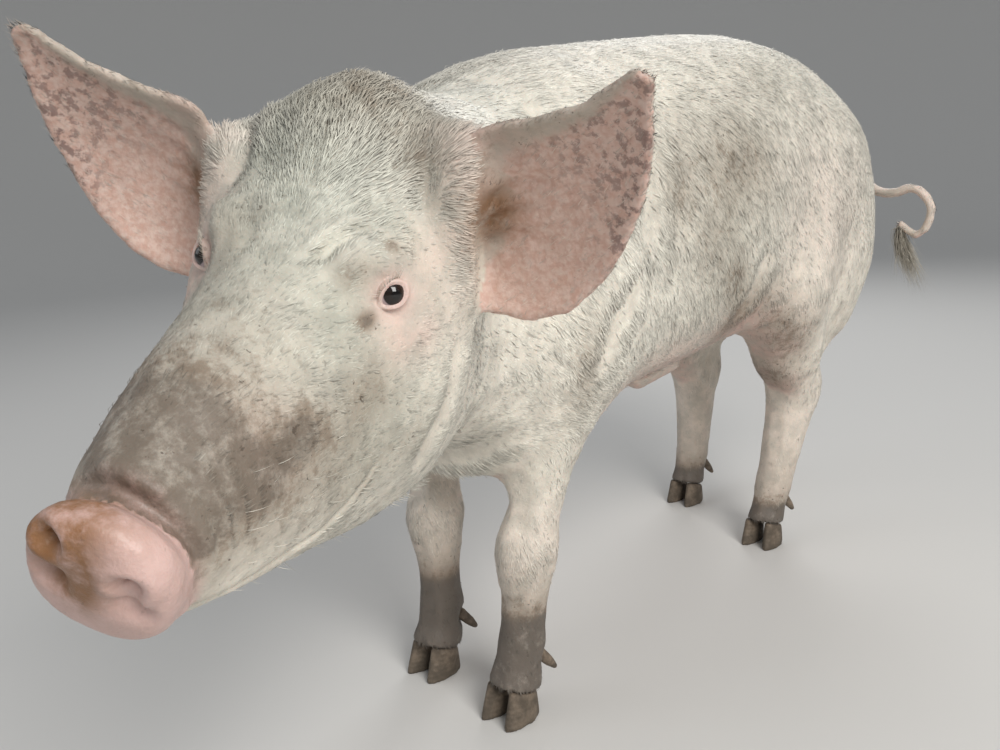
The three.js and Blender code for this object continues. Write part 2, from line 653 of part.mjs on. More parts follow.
function tailParts() {
  const curveThrough = (points) => new THREE.CatmullRomCurve3(points.map((p) => new THREE.Vector3(...p)));
  const { base, path, tuft, root, waist, tip, hair } = TAIL;
  const curve = curveThrough([add(base, [0, CUT, 0]), ...path]);
  const thickness = (t) => (t < 0.4 ? mix(root, waist, t / 0.4) : mix(waist, tip, (t - 0.4) / 0.6));
  const rings = (grow) => {
    const list = tube(curve, (t) => thickness(t) + grow, 22, 7);
    list[0] = list[0].map(([x, , z]) => [x, base[1] + CUT, z]);
    const last = list.length - 1;
    list[last] = list[last].map((p) => add(p, curve.getTangent(1).multiplyScalar(grow).toArray()));
    return list;
  };
  const start = add(path[path.length - 1], [3, 0, -2]);
  const fullness = (t) => mix(3, hair, Math.sin(Math.PI * t ** 0.6));
  const hang = tube(curveThrough([start, ...tuft]), fullness, 7, 7);
  return { tail: loft(rings(0)), tail_tuft: largest(loft(hang).subtract(loft(rings(CUT)))) };
}

// ---------------------------------------------------------------- the finished group
function meshOf(name, body, finish) {
  const got = body.getMesh();
  const raw = new THREE.BufferGeometry();
  raw.setAttribute("position", new THREE.BufferAttribute(new Float32Array(got.vertProperties), 3));
  raw.setIndex(new THREE.BufferAttribute(new Uint32Array(got.triVerts), 1));
  const geometry = mergeVertices(raw, SLIVER);
  const index = Array.from(geometry.index.array);
  const whole = (t) => new Set(index.slice(t, t + 3)).size === 3;
  geometry.setIndex(index.filter((_, i) => whole(i - (i % 3))));
  geometry.computeVertexNormals();
  const mesh = new THREE.Mesh(geometry, new THREE.MeshStandardMaterial({ ...finish, metalness: 0 }));
  mesh.name = name;
  return mesh;
}

const FINISH = {
  flesh: { color: "#d6cbbd", roughness: 0.75 },
  ear: { color: "#c79c8e", roughness: 0.7 },
  nose: { color: "#c4948b", roughness: 0.5 },
  horn: { color: "#6a5a4a", roughness: 0.55 },
  eye: { color: "#231b18", roughness: 0.12 },
  hair: { color: "#d2c8b6", roughness: 0.8 },
};

const group = new THREE.Group();
group.name = "pig";
const place = (parent, parts, finish) => {
  for (const [name, body] of Object.entries(parts)) {
    const own = /claw/.test(name) ? FINISH.horn : /tuft/.test(name) ? FINISH.hair : finish;
    parent.add(meshOf(name, body, own));
  }
};

const head = new THREE.Group();
head.name = "head_group";
head.applyMatrix4(headTurn);
const { snout_disc, ...headFlesh } = headParts();
place(head, headFlesh, FINISH.flesh);
place(head, { snout_disc }, FINISH.nose);
place(head, { left_ear: earPart(1), right_ear: earPart(-1) }, FINISH.ear);
place(head, { left_eye: eyeBall(1, EYE.radius), right_eye: eyeBall(-1, EYE.radius) }, FINISH.eye);
group.add(head);

place(group, { neck: neckPart(), ...trunkParts(), sheath: sheathPart(), ...tailParts() }, FINISH.flesh);
for (const [name, side] of [["left", 1], ["right", -1]])
  for (const kind of ["fore", "hind"]) {
    const leg = new THREE.Group();
    leg.name = `${name}_${kind}_group`;
    place(leg, legParts(name, side, kind), FINISH.flesh);
    group.add(leg);
  }

// The origin lies under the middle of the pig's bounds, and the soles on z = 0.
const bounds = new THREE.Box3().setFromObject(group, true);
const middle = bounds.getCenter(new THREE.Vector3());
group.children.forEach((child) => child.position.add(new THREE.Vector3(-middle.x, -middle.y, 0)));
group.updateMatrixWorld(true);

export default group;
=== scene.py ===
# %% [markdown]
# # A standing pig
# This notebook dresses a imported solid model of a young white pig, so that it looks alive.
# The solids give every length and the outline. On the real animal one hide runs over all of them,
# so the first half of the notebook makes one skin, and the second half lays the bristles on it.

import json
import math

import bmesh
import bpy
import numpy as np
from mathutils import Matrix, Vector, noise
from mathutils.bvhtree import BVHTree

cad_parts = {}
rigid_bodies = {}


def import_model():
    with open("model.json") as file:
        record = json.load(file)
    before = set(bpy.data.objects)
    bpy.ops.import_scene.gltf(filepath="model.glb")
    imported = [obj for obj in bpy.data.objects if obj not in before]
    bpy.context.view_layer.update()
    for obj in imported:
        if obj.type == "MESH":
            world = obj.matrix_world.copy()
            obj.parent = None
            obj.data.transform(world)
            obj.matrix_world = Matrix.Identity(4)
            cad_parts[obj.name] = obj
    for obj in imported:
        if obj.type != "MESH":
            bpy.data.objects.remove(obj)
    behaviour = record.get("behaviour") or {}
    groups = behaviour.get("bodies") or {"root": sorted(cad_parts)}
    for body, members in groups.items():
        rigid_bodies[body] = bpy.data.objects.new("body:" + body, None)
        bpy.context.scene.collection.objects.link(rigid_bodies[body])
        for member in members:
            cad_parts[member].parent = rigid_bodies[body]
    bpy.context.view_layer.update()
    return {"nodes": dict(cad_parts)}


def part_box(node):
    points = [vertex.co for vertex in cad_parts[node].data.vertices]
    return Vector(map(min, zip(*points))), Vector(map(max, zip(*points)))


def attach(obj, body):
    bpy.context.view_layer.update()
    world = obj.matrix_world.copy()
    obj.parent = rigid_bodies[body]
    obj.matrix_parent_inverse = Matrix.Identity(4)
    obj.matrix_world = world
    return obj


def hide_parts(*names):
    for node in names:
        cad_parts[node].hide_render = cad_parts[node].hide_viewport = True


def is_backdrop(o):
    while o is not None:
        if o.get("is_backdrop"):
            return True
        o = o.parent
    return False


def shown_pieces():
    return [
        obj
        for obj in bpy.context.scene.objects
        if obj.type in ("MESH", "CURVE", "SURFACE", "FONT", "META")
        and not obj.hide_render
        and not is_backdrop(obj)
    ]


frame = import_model()
SEED = 27
rng = np.random.default_rng(SEED)

# %% [markdown]
# ## Sorting the solids
# A pig's eyes and claws are their own materials, hard and smooth, so they stay separate pieces.
# The hair at the end of the tail is its own piece too. All the rest is flesh under one hide.

# %% Sort the nodes
nodes = sorted(frame["nodes"])
eye_nodes = [n for n in nodes if n.endswith("_eye")]
claw_nodes = [n for n in nodes if "claw" in n]
flesh_nodes = [n for n in nodes if n not in eye_nodes + claw_nodes + ["tail_tuft"]]
print(len(flesh_nodes), "flesh nodes,", len(claw_nodes), "claws,", len(eye_nodes), "eyes")

# %% [markdown]
# ## The head's own frame
# The head is turned and lowered, so folds, lids and lips are easiest to place in a frame of its own:
# the origin lies between the eyes, the snout points along -y, and +x is the pig's left.
# The eyes' boxes give the place and the pose's three angles give the turn.

# %% Head frame
HEAD_YAW, HEAD_PITCH, HEAD_ROLL, HEAD_SIZE = 27.5, 16.0, 13.5, 0.98
EYE = np.array([0.061, -0.001, -0.011])
EYE_RADIUS = 0.012


def middle(node):
    low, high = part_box(node)
    return np.array((low + high) / 2)


def turn(degrees, axis):
    return np.array(Matrix.Rotation(math.radians(degrees), 3, axis))


head_turn = turn(HEAD_YAW, "Z") @ turn(HEAD_PITCH, "X") @ turn(HEAD_ROLL, "Y")
between_eyes = (middle("left_eye") + middle("right_eye")) / 2
head_at = between_eyes - head_turn @ (EYE * (0, 1, 1)) * HEAD_SIZE


def in_head(points):
    return (points - head_at) @ head_turn / HEAD_SIZE


def from_head(points):
    return np.asarray(points) @ head_turn.T * HEAD_SIZE + head_at


print("head frame at", head_at.round(3))

# %% [markdown]
# ## The trunk's own frame
# Head and tail swing out to the left, so the middle of the bounds isn't the middle of the trunk.
# The barrel's box gives the midline, and the root of the tail says how far back the trunk reaches.

# %% Trunk frame
TAIL_ROOT_BACK = 0.4945
trunk_at = np.array([middle("barrel")[0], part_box("tail")[0].y - TAIL_ROOT_BACK, 0.0])
print("trunk's middle at", trunk_at.round(3))

# %% [markdown]
# ## Working on many points at once
# A hide has hundreds of thousands of points, so they are handled as arrays. `steps` is a soft
# threshold, `nearest_on_path` says how far each point is from a drawn line, and `relax`
# lets a value flow between neighbouring points, as a masseur evens out a lump of clay. Tables of
# places are written in millimetres, and `mm` turns them into metres.

# %% Array helpers
def mm(*values):
    return np.array(values) / 1000


def steps(low, high, value):
    t = np.clip((value - low) / (high - low), 0, 1)
    return t * t * (3 - 2 * t)


def mix(a, b, t):
    return a + (b - a) * t


def unit(v):
    v = np.asarray(v, float)
    return v / np.maximum(np.linalg.norm(v, axis=-1, keepdims=True), 1e-12)


def bump(value, width):
    return np.exp(-((value / width) ** 2))


def nearest_on_path(points, path):
    """Distance to a path of straight stretches, and how far along it, from 0 to 1."""
    path = np.asarray(path, float)
    best, where = np.full(len(points), 1e9), np.zeros(len(points))
    for i, (a, b) in enumerate(zip(path[:-1], path[1:])):
        t = np.clip((points - a) @ (b - a) / ((b - a) @ (b - a)), 0, 1)
        d = np.linalg.norm(points - a - t[:, None] * (b - a), axis=1)
        closer = d < best
        best[closer], where[closer] = d[closer], (i + t[closer]) / (len(path) - 1)
    return best, where


def one_side(points):
    """Both sides of the pig laid on its left."""
    return np.column_stack([abs(points[:, 0]), points[:, 1:]])


def blob(points, centre, radii):
    return np.exp(-(((points - centre) / radii) ** 2).sum(1))


def ripple(points, size, seed=0.0):
    """Smooth noise from about -1 to 1, with lumps about size across."""
    shift = Vector((seed, seed * 1.7, -seed))
    return np.array([noise.noise(Vector(p) / size + shift) for p in points])


def numbers(items, field, width):
    """One field of all of a mesh's points, edges, faces or corners, a row for each."""
    values = np.empty(len(items) * width, dtype=np.int32 if field == "vertices" else np.float32)
    items.foreach_get(field, values)
    return values.reshape(-1, width)


def points_of(mesh):
    return numbers(mesh.vertices, "co", 3).astype(float)


def normals_of(mesh):
    return numbers(mesh.vertices, "normal", 3).astype(float)


def edges_of(mesh):
    return numbers(mesh.edges, "vertices", 2)


def place_points(mesh, points):
    mesh.vertices.foreach_set("co", points.astype(np.float32).ravel())
    mesh.update()


def relax(values, edges, weight, turns):
    """Draws each point's values towards the mean of its neighbours', turn by turn."""
    a, b = edges.T
    n = len(values)
    count = np.maximum(np.bincount(edges.ravel(), minlength=n), 1)[:, None]
    for _ in range(turns):
        total = [np.bincount(a, v[b], n) + np.bincount(b, v[a], n) for v in values.T]
        values = values + weight * (np.stack(total, 1) / count - values)
    return values


# %% [markdown]
# ## Pieces
# Every finished piece sits at the origin, unturned, with its place in its mesh. `add_object` puts a
# mesh in the scene, and `remeshed` wraps solids in one closed mesh. Small balls can plug pockets
# that the net would otherwise run into.

# %% Piece helpers
SAME_POINT = 1e-5
SWELL = 0.0004
PLUG_RADIUS = 0.01


def add_object(name, mesh):
    piece = bpy.data.objects.new(name, mesh)
    bpy.context.scene.collection.objects.link(piece)
    return piece


def finish_mesh(piece):
    """Turns the piece's modifiers into plain mesh."""
    graph = bpy.context.evaluated_depsgraph_get()
    mesh = bpy.data.meshes.new_from_object(piece.evaluated_get(graph))
    piece.modifiers.clear()
    piece.data = mesh


def mesh_from(bm, name):
    mesh = bpy.data.meshes.new(name)
    bm.to_mesh(mesh)
    bm.free()
    return mesh


def shade_smooth(mesh):
    mesh.polygons.foreach_set("use_smooth", [True] * len(mesh.polygons))


def triangles_in(mesh):
    return sum(len(p.vertices) - 2 for p in mesh.polygons)


def remeshed(name, from_nodes, grain, swell=SWELL, plugs=()):
    """One closed mesh around several solids, with the thin cuts between them filled."""
    bm = bmesh.new()
    for node in from_nodes:
        part = frame["nodes"][node].data.copy()
        part.transform(frame["nodes"][node].matrix_world)
        bm.from_mesh(part)
        bpy.data.meshes.remove(part)
    bmesh.ops.remove_doubles(bm, verts=bm.verts, dist=SAME_POINT)
    bm.normal_update()
    for v in bm.verts:
        v.co += v.normal * swell
    for plug in plugs:
        at = Matrix.Translation(plug)
        bmesh.ops.create_icosphere(bm, subdivisions=2, radius=PLUG_RADIUS, matrix=at)
    piece = add_object(name, mesh_from(bm, name))
    remesh = piece.modifiers.new("remesh", "REMESH")
    remesh.mode = "VOXEL"
    remesh.voxel_size = grain
    finish_mesh(piece)
    return piece


# %% [markdown]
# ## One hide over all the flesh
# The solids are faceted and parted. A voxel remesh wraps them in one even net of small squares,
# which closes the cuts, and a small ball plugs the pocket behind each ear's root. The eyes go in
# too, so that the net runs on over the eyeballs: the lids are cut out of it later.

# %% Wrap the flesh
GRAIN = 0.003
EAR_POCKETS = mm([100, 68, 46], [-100, 68, 22])
skin = remeshed("skin", flesh_nodes + eye_nodes, GRAIN, plugs=from_head(EAR_POCKETS))
print("wrapped in", len(skin.data.vertices), "points")

# %% [markdown]
# ## Which part is a point on?
# Length of hair, softness and colour differ from part to part. Each point of the hide asks which
# solid it lies nearest to, and the answers are then blurred a little, so that nothing changes
# along a hard line.

# %% Find each point's part
def solids_tree():
    vertices, faces, owner = [], [], []
    for index, node in enumerate(flesh_nodes):
        part = frame["nodes"][node]
        first = len(vertices)
        vertices += [part.matrix_world @ v.co for v in part.data.vertices]
        faces += [[first + i for i in p.vertices] for p in part.data.polygons]
        owner += [index] * len(part.data.polygons)
    return BVHTree.FromPolygons(vertices, faces), np.array(owner)


cad_tree, cad_owner = solids_tree()


def parts_at(points):
    return cad_owner[[cad_tree.find_nearest(Vector(p))[2] for p in points]]


def by_part(table, parts):
    """Each point's row in a table of name endings. The first ending that fits counts."""
    values = [next(v for key, v in table.items() if node.endswith(key)) for node in flesh_nodes]
    return np.array(values, float)[parts]


skin_parts = parts_at(points_of(skin.data))
print("parts found:", len(set(skin_parts.tolist())))

# %% [markdown]
# ## From facets to flesh
# The facets are broad on the trunk and small on the face, so the trunk is relaxed most. Relaxing
# also shrinks: how far each point sank is measured, blurred, and given back, less the depth of
# the coat, which is filled by the bristles later.

# %% Relax the hide
# For each part: how softly its facets melt, and the depth of its coat.
FLESH = {"disc": (0.06, 0.0), "jaw": (0.16, 0.0012), "head": (0.16, 0.0012), "ear": (0.3, 0.0004),
    "neck": (0.6, 0.0024), "tail": (0.1, 0.0008), "sheath": (0.25, 0.001), "_leg": (0.32, 0.002),
    "_foot": (0.14, 0.0012), "": (1.0, 0.0028)}
RELAX_TURNS = 90
EAR_ROOT_SOFTNESS = 0.8

edges = edges_of(skin.data)
start = points_of(skin.data)
left = one_side(in_head(start))
ear_root = blob(left, mm(90, 78, 35), mm(34, 45, 70)) * steps(0.116, 0.1, left[:, 0])
melting, coat_depth = by_part(FLESH, skin_parts).T
softness = relax(np.maximum(melting, EAR_ROOT_SOFTNESS * ear_root)[:, None], edges, 0.8, 12)
smooth = relax(start, edges, softness * 0.7, RELAX_TURNS)
place_points(skin.data, smooth)
out = normals_of(skin.data)
sunk = ((start - smooth) * out).sum(1, keepdims=True)
sunk = relax(sunk, edges, softness * 0.7, RELAX_TURNS // 2) * (1 - 0.6 * ear_root[:, None])
depth = relax(coat_depth[:, None], edges, 0.8, 12)
place_points(skin.data, smooth + out * (sunk - depth))
print("given back up to", round(float(sunk.max()) * 1000, 1), "mm")

# %% [markdown]
# ## A finer net where the face needs it
# Lids, nostrils and lips are a millimetre thick, finer than the net. The faces around them are
# cut in four, and around the eyes and nostrils in four again, before anything is shaped.

# %% Refine the face
MOUTH = mm([0, -206, -106], [0, -175, -117], [0, -140, -124], [0, -105, -127], [0, -75, -121],
    [0, -55, -108])
NOSE_AT = mm(3, -221, -71)


def mouth_height(y):
    return np.interp(y, MOUTH[:, 1], MOUTH[:, 2])


def near_face(q, eye_reach, nose_reach, lips):
    eyes = [np.linalg.norm(q - EYE * (s, 1, 1), axis=1) < eye_reach for s in (1, -1)]
    nose = np.linalg.norm(q - NOSE_AT, axis=1) < nose_reach
    lip = (abs(q[:, 2] - mouth_height(q[:, 1])) < lips) & (q[:, 1] < -0.045) & (q[:, 1] > -0.215)
    return eyes[0] | eyes[1] | nose | (lip & (abs(q[:, 0]) < 0.09))


def refine(piece, *reach):
    chosen = near_face(in_head(points_of(piece.data)), *reach)
    bm = bmesh.new()
    bm.from_mesh(piece.data)
    bm.verts.ensure_lookup_table()
    split = [e for e in bm.edges if chosen[e.verts[0].index] and chosen[e.verts[1].index]]
    bmesh.ops.subdivide_edges(bm, edges=split, cuts=1, use_grid_fill=True)
    bm.to_mesh(piece.data)
    bm.free()


refine(skin, 0.036, 0.052, 0.009)
refine(skin, 0.024, 0.046, 0.004)
print("refined to", len(skin.data.vertices), "points")

# %% [markdown]
# ## Eyelids
# A lid is a millimetre or two of skin that lies on the eyeball. Around the ball's centre each
# point is pushed to the ball's radius plus the lid's thickness, and inside the almond between
# the lids it is pulled under the ball's surface, so that the eye shows. A shallow furrow runs
# round above the upper lid.

# %% Shape the lids
GAZE = unit([0.62, -0.70, 0.33])
INNER_CORNER = unit([-0.42, -0.75, -0.52])
LID = 0.0015
LID_REACH = 0.036
UNDER_BALL = 0.0016
SLIT = {"inner": 0.95, "outer": 0.72, "upper": 0.60, "lower": 0.58}


def eye_axes(side):
    gaze = GAZE * (side, 1, 1)
    along = INNER_CORNER * (side, 1, 1)
    along = unit(along - gaze * (along @ gaze))
    up = np.cross(gaze, along)
    return gaze, along, up * np.sign(up[2])


def around_eye(q, side):
    """Offset and distance from the eyeball's centre, share of it along the gaze, and the angles
    from the gaze: towards the inner corner, and up."""
    gaze, along, up = eye_axes(side)
    off = q - EYE * (side, 1, 1)
    far = np.linalg.norm(off, axis=1)
    ahead = off @ gaze
    return off, far, ahead / far, np.arctan2(off @ along, ahead), np.arctan2(off @ up, ahead)


def lid_edge(a, b):
    """Angle outside the slit between the lids; below zero the eyeball shows."""
    wide = np.where(a > 0, SLIT["inner"], SLIT["outer"])
    tall = np.where(b > 0, SLIT["upper"], SLIT["lower"])
    return (np.hypot(a / wide, b / tall) - 1) * 0.6


def shape_lids(q, side):
    off, far, ahead, a, b = around_eye(q, side)
    angle = np.arccos(np.clip(ahead, -1, 1))
    edge = lid_edge(a, b)
    upper = steps(-0.2, 0.3, b)
    rim = 0.0009 * bump(edge - 0.06, 0.09)
    upper_furrow = 0.0016 * upper * bump(edge - 0.42, 0.12)
    lower_furrow = 0.0008 * (1 - upper) * bump(edge - 0.34, 0.1)
    lid = EYE_RADIUS + LID + rim - upper_furrow - lower_furrow
    hold = (1 - steps(0.95, 1.5, angle)) * (1 - steps(0.026, 0.034, far))
    reach = mix(far, lid, hold)
    under = EYE_RADIUS - UNDER_BALL
    reach = mix(under, reach, np.where(angle < 1.2, steps(-0.1, 0.0, edge), 1))
    return q + off * ((reach / far - 1)[:, None] * (far < LID_REACH)[:, None])


# %% [markdown]
# ## Lips, snout and folds
# A crease is a line drawn in the head's frame. Points near it sink, and the skin beside
# it swells a little, as it does on a fold. The mouth is closed: its line is a deeper crease.

# %% Shape the face
def crease(q, path, width, deep):
    d, where = nearest_on_path(q, path)
    fade = steps(0, 0.25, where) * steps(1, 0.75, where)
    return fade * deep * (0.45 * bump(d - 1.9 * width, width) - bump(d, width))


def both(path):
    return [path * (s, 1, 1) for s in (1, -1)]


BROW = mm([20, -36, 10], [28, -13, 21], [36, 0, 27], [50, 13, 28])
UNDER_EYE = mm([62, -30, -32], [74, -12, -38], [83, 12, -34])
CHEEK = mm([102, 50, -50], [104, 30, -85], [98, 4, -120], [84, -12, -150])
EAR_ROOT_FOLD = mm([78, 100, 60], [73, 75, 56], [66, 60, 49], [64, 50, 36], [70, 42, 15])
SNOUT_RIDGE = mm([-8, -193, -29], [6, -195, -30], [18, -196, -36])
SNOUT_FOLDS = [
    mm([42, -196, -85], [34, -201, -56], [16, -204, -38], [-4, -204, -32], [-30, -197, -46]),
    mm([45, -188, -86], [40, -186, -62], [24, -182, -36], [0, -181, -28], [-28, -180, -42]),
    mm([46, -178, -84], [42, -174, -60], [28, -170, -36], [6, -168, -27], [-20, -168, -32]),
    mm([47, -168, -80], [44, -163, -60], [34, -158, -42]),
    mm([40, -163, -50], [16, -154, -25], [-14, -154, -24], [-34, -160, -45])]
EAR_FOLDS = [
    mm([103, 64, 34], [111, 71, 40], [130, 72, 51], [150, 65, 65]),
    mm([103, 73, 16], [115, 76, 24], [135, 75, 36]),
    mm([103, 81, -3], [116, 81, 7], [133, 78, 18])]
# The brow is furrowed most on the left, where the pig looks. Width and depth follow each fold.
BROW_DEPTHS = (0.0056, 0.0014)
SNOUT_DEPTHS = (0.0024, 0.0028, 0.0026, 0.002, 0.0016)
FACE_FOLDS = [(UNDER_EYE, 0.003, 0.0012), (CHEEK, 0.011, 0.0032), (EAR_ROOT_FOLD, 0.009, 0.005)]
FACE_FOLDS += [(fold, 0.0055, 0.0024) for fold in EAR_FOLDS]
NOSTRILS = mm([25, -236, -60], [-11, -237, -41])


def shape_face(q):
    """How far each point is pushed out: lips, creases, nostrils and the skin's unevenness."""
    push = np.zeros(len(q))
    lip = q[:, 2] - mouth_height(q[:, 1])
    ends = steps(-0.045, -0.062, q[:, 1]) * steps(-0.214, -0.206, q[:, 1]) * (abs(q[:, 0]) < 0.09)
    gap, upper_lip, lower_lip = bump(lip, 0.0016), bump(lip - 0.006, 0.005), bump(lip + 0.006, 0.004)
    push += ends * (-0.0032 * gap + 0.0018 * lower_lip + 0.0012 * upper_lip)
    for path, deep in zip(both(BROW), BROW_DEPTHS):
        push += crease(q, path, 0.0052, deep)
    for fold, width, deep in FACE_FOLDS:
        for path in both(fold):
            push += crease(q, path, width, deep)
    push += 0.0042 * bump(nearest_on_path(q, SNOUT_RIDGE)[0], 0.0055)
    for path, deep in zip(SNOUT_FOLDS, SNOUT_DEPTHS):
        push += crease(q, path, 0.0032, deep)
    for nostril in NOSTRILS:
        far = np.linalg.norm(q - nostril, axis=1)
        push += 0.0016 * bump(far - 0.011, 0.004) - 0.009 * bump(far, 0.006)
    face = (np.linalg.norm(q - (0, -0.06, -0.06), axis=1) < 0.25) & (q[:, 1] > -0.205)
    push[face] += 0.0006 * ripple(q[face], 0.014, 3.0) + 0.0007 * ripple(q[face], 0.035, 5.0)
    return push


HEAD_MIDDLE, HEAD_REACH = mm(0, -50, -50), 0.32

points = points_of(skin.data)
q = in_head(points)
head_zone = np.linalg.norm(q - HEAD_MIDDLE, axis=1) < HEAD_REACH
local = q[head_zone]
for side in (1, -1):
    local = shape_lids(local, side)
points[head_zone] = from_head(local)
place_points(skin.data, points)
out = normals_of(skin.data)
points[head_zone] += out[head_zone] * shape_face(in_head(points[head_zone]))[:, None]
place_points(skin.data, points)
print("face shaped on", int(head_zone.sum()), "points")

# %% [markdown]
# ## Folds of the body
# Skin folds where a leg meets the trunk and where the neck turns. The same creases do it, drawn
# in the trunk's frame and mirrored. Under the belly two rows of teats are small bumps.

# %% Shape the body
ELBOW_FOLD = mm([160, -185, 470], [166, -222, 435], [152, -240, 370])
FLANK_FOLD = mm([128, 55, 375], [150, 85, 420], [164, 100, 480])
SHOULDER_EDGE = mm([130, -150, 640], [162, -160, 560], [168, -180, 480])
BODY_FOLDS = [(ELBOW_FOLD, 0.013, 0.0045), (FLANK_FOLD, 0.016, 0.005), (SHOULDER_EDGE, 0.02, 0.003)]
NECK_FOLDS = [
    mm([205, -475, 520], [200, -488, 440], [165, -500, 385]),
    mm([170, -430, 540], [168, -437, 450], [140, -440, 380])]
TEATS = {"pairs": 6, "out": 0.042, "from": -0.1, "to": 0.14, "size": 0.0055}


def shape_body(p, out):
    push = np.zeros(len(p))
    for fold, width, deep in BODY_FOLDS:
        for path in both(fold):
            push += crease(p, path, width, deep)
    for path in NECK_FOLDS:
        push += crease(p, path, 0.009, 0.004)
    for y in np.linspace(TEATS["from"], TEATS["to"], TEATS["pairs"]):
        across = np.hypot(abs(p[:, 0]) - TEATS["out"], p[:, 1] - y)
        push += (out[:, 2] < -0.4) * 1.1 * TEATS["size"] * bump(across, TEATS["size"])
    return push + 0.0009 * ripple(p, 0.05, 7.0)


points = points_of(skin.data)
body_zone = ~head_zone
out = normals_of(skin.data)
points[body_zone] += out[body_zone] * shape_body(points[body_zone] - trunk_at, out[body_zone])[:, None]
place_points(skin.data, points)
print("body shaped on", int(body_zone.sum()), "points")

# %% [markdown]
# ## Fewer faces where they aren't needed
# The trunk is smooth, so broad faces are enough there, while lids and lips keep the fine ones.
# Decimate weighs an edge's length against its weight in a vertex group, which only tells when the
# numbers aren't tiny, so the hide is thinned at a thousand times its size.

# %% Thin out the hide
SKIN_FACES = 190000
THIN_AT_SIZE = 1000
SPARE = {"disc": 0.3, "jaw": 0.45, "head": 0.45, "ear": 0.45, "_foot": 0.6, "tail": 0.4, "": 0.72}
SPARE_ON_LIDS = 0.05

spare = by_part(SPARE, parts_at(points))
spare[near_face(in_head(points), 0.026, 0.03, 0.004)] = SPARE_ON_LIDS
coarse = skin.vertex_groups.new(name="coarse")
for level in np.unique(spare):
    coarse.add(np.flatnonzero(spare == level).tolist(), float(level), "REPLACE")
place_points(skin.data, points * THIN_AT_SIZE)
thin = skin.modifiers.new("thin", "DECIMATE")
thin.ratio = SKIN_FACES / triangles_in(skin.data)
thin.vertex_group = "coarse"
thin.vertex_group_factor = 0.6
thin.use_collapse_triangulate = True
finish_mesh(skin)
skin.vertex_groups.clear()
place_points(skin.data, points_of(skin.data) / THIN_AT_SIZE)
shade_smooth(skin.data)
print("hide has", triangles_in(skin.data), "triangles")

# %% [markdown]
# ## Markings
# A white pig is never plain white. The bristles are cream, cooler on the forehead, and thin where
# the pink skin shows: round the eyes, on the ham and under the belly. Mud lies on the snout, the
# flank and the feet, and the mud mask also darkens the fold in front of each hind leg with painted
# shade. Each of these is a soft mask over the body, kept on the points as a colour attribute, so
# that hide and bristles can read the same one.

# %% Masks for the markings
# The left side is 1 and the right side is -1. Each blob is a centre and three radii in mm, and a
# strength, in the head's frame or in the trunk's.
EAR_ROOTS = {1: mm(98, 86, 6), -1: mm(-98, 86, -18)}
EAR_TIPS = {1: mm(194, 26, 142), -1: mm(-206, 26, 110)}
EAR_FACING = unit([-0.2, -1.0, -0.2])
EAR_STRIPS = 24
MOST_MUD_AND_FOLD_SHADE = 0.86
PINK = {"head": [[70, -6, -14, 24, 30, 26, 0.62], [82, -7, -41, 18, 26, 14, 0.5],
    [50, -140, -40, 30, 30, 30, 0.4], [85, 45, 10, 30, 30, 50, 0.4], [90, 60, 75, 30, 30, 30, 0.5]],
    "body": [[170, 250, 500, 60, 130, 130, 0.32], [150, 120, 360, 60, 60, 50, 0.6],
        [0, 100, 300, 120, 200, 50, 0.5]]}
GREY = {"head": [[20, 30, 60, 90, 90, 80, 1.0], [20, -60, 0, 60, 100, 60, 1.0],
    [90, -60, -90, 40, 70, 50, 0.7]],
    "body": [[100, -350, 620, 120, 60, 80, 0.5], [160, 0, 500, 80, 160, 160, 0.3],
        [100, 200, 660, 120, 160, 60, 0.3]]}
MUD_AND_FOLD_SHADE = {"head": [[-4, -182, -25, 45, 55, 30, 0.82], [22, -170, -33, 30, 55, 30, 0.36],
    [42, -165, -60, 40, 60, 40, 0.46], [50, -152, -55, 18, 22, 16, 0.3],
    [30, -195, -55, 25, 18, 30, 0.6], [18, -157, -18, 6, 6, 6, 0.3], [55, -114, -46, 14, 16, 14, 0.5],
    [80, -80, -60, 30, 60, 40, 0.18], [60, -112, -75, 40, 60, 45, 0.36],
    [-40, -130, -50, 40, 90, 70, 0.6], [12, -100, 0, 35, 70, 30, 0.36], [74, -55, -50, 20, 30, 20, 0.4],
    [-45, -20, 20, 30, 40, 40, 0.45], [10, 85, 85, 70, 60, 35, 0.62], [57, 55, 56, 22, 22, 20, 0.45],
    [44, -22, 10, 10, 16, 12, 0.55], [56, -29, -19, 8, 9, 5, 1.2], [63, -24, -14, 4, 4, 3, 1.0],
    [62, 3, 20, 5, 4, 5, 1.1], [50, 0, 21, 7, 3, 4, 0.6], [85, -4, -100, 30, 40, 30, 0.2],
    [80, -60, -115, 30, 70, 20, 0.25]],
    "body": [[160, -30, 590, 50, 120, 70, 0.4], [167, -115, 551, 40, 30, 50, 0.4],
        [168, -43, 491, 40, 50, 70, 0.42], [167, 50, 580, 40, 70, 60, 0.32],
        # The blobs at (133, 61, 390) and (139, 114, 400) are painted shade in the fold between flank and
        # hind leg, kept in the mud table.
        [162, 17, 440, 50, 30, 40, 0.6], [133, 61, 390, 60, 30, 40, 0.85],
        [139, 114, 400, 50, 30, 40, 0.6], [141, 205, 338, 50, 50, 50, 0.6],
        [86, 244, 274, 50, 40, 40, 0.65], [150, 160, 370, 50, 30, 50, 0.45],
        [155, -258, 385, 40, 20, 60, 0.5], [130, 120, 673, 80, 100, 30, 0.25],
        [0, 460, 350, 80, 100, 120, 0.35]]}
STAINS = [[-20, -225, -35, 22, 30, 14, 1.0], [0, -225, -30, 24, 20, 12, 0.75],
    [-4, -238, -64, 14, 20, 20, 1.3], [-12, -240, -50, 20, 20, 20, 0.35],
    [4, -238, -50, 16, 20, 14, 0.35]]


def blobs(rows, places):
    return sum(row[6] * blob(places, mm(*row[:3]), mm(*row[3:6])) for row in rows)


def mask(table, q, p):
    """Sum of soft blobs on the head and on the trunk, where both sides have the same."""
    return blobs(table["head"], q) + blobs(table["body"], one_side(p))


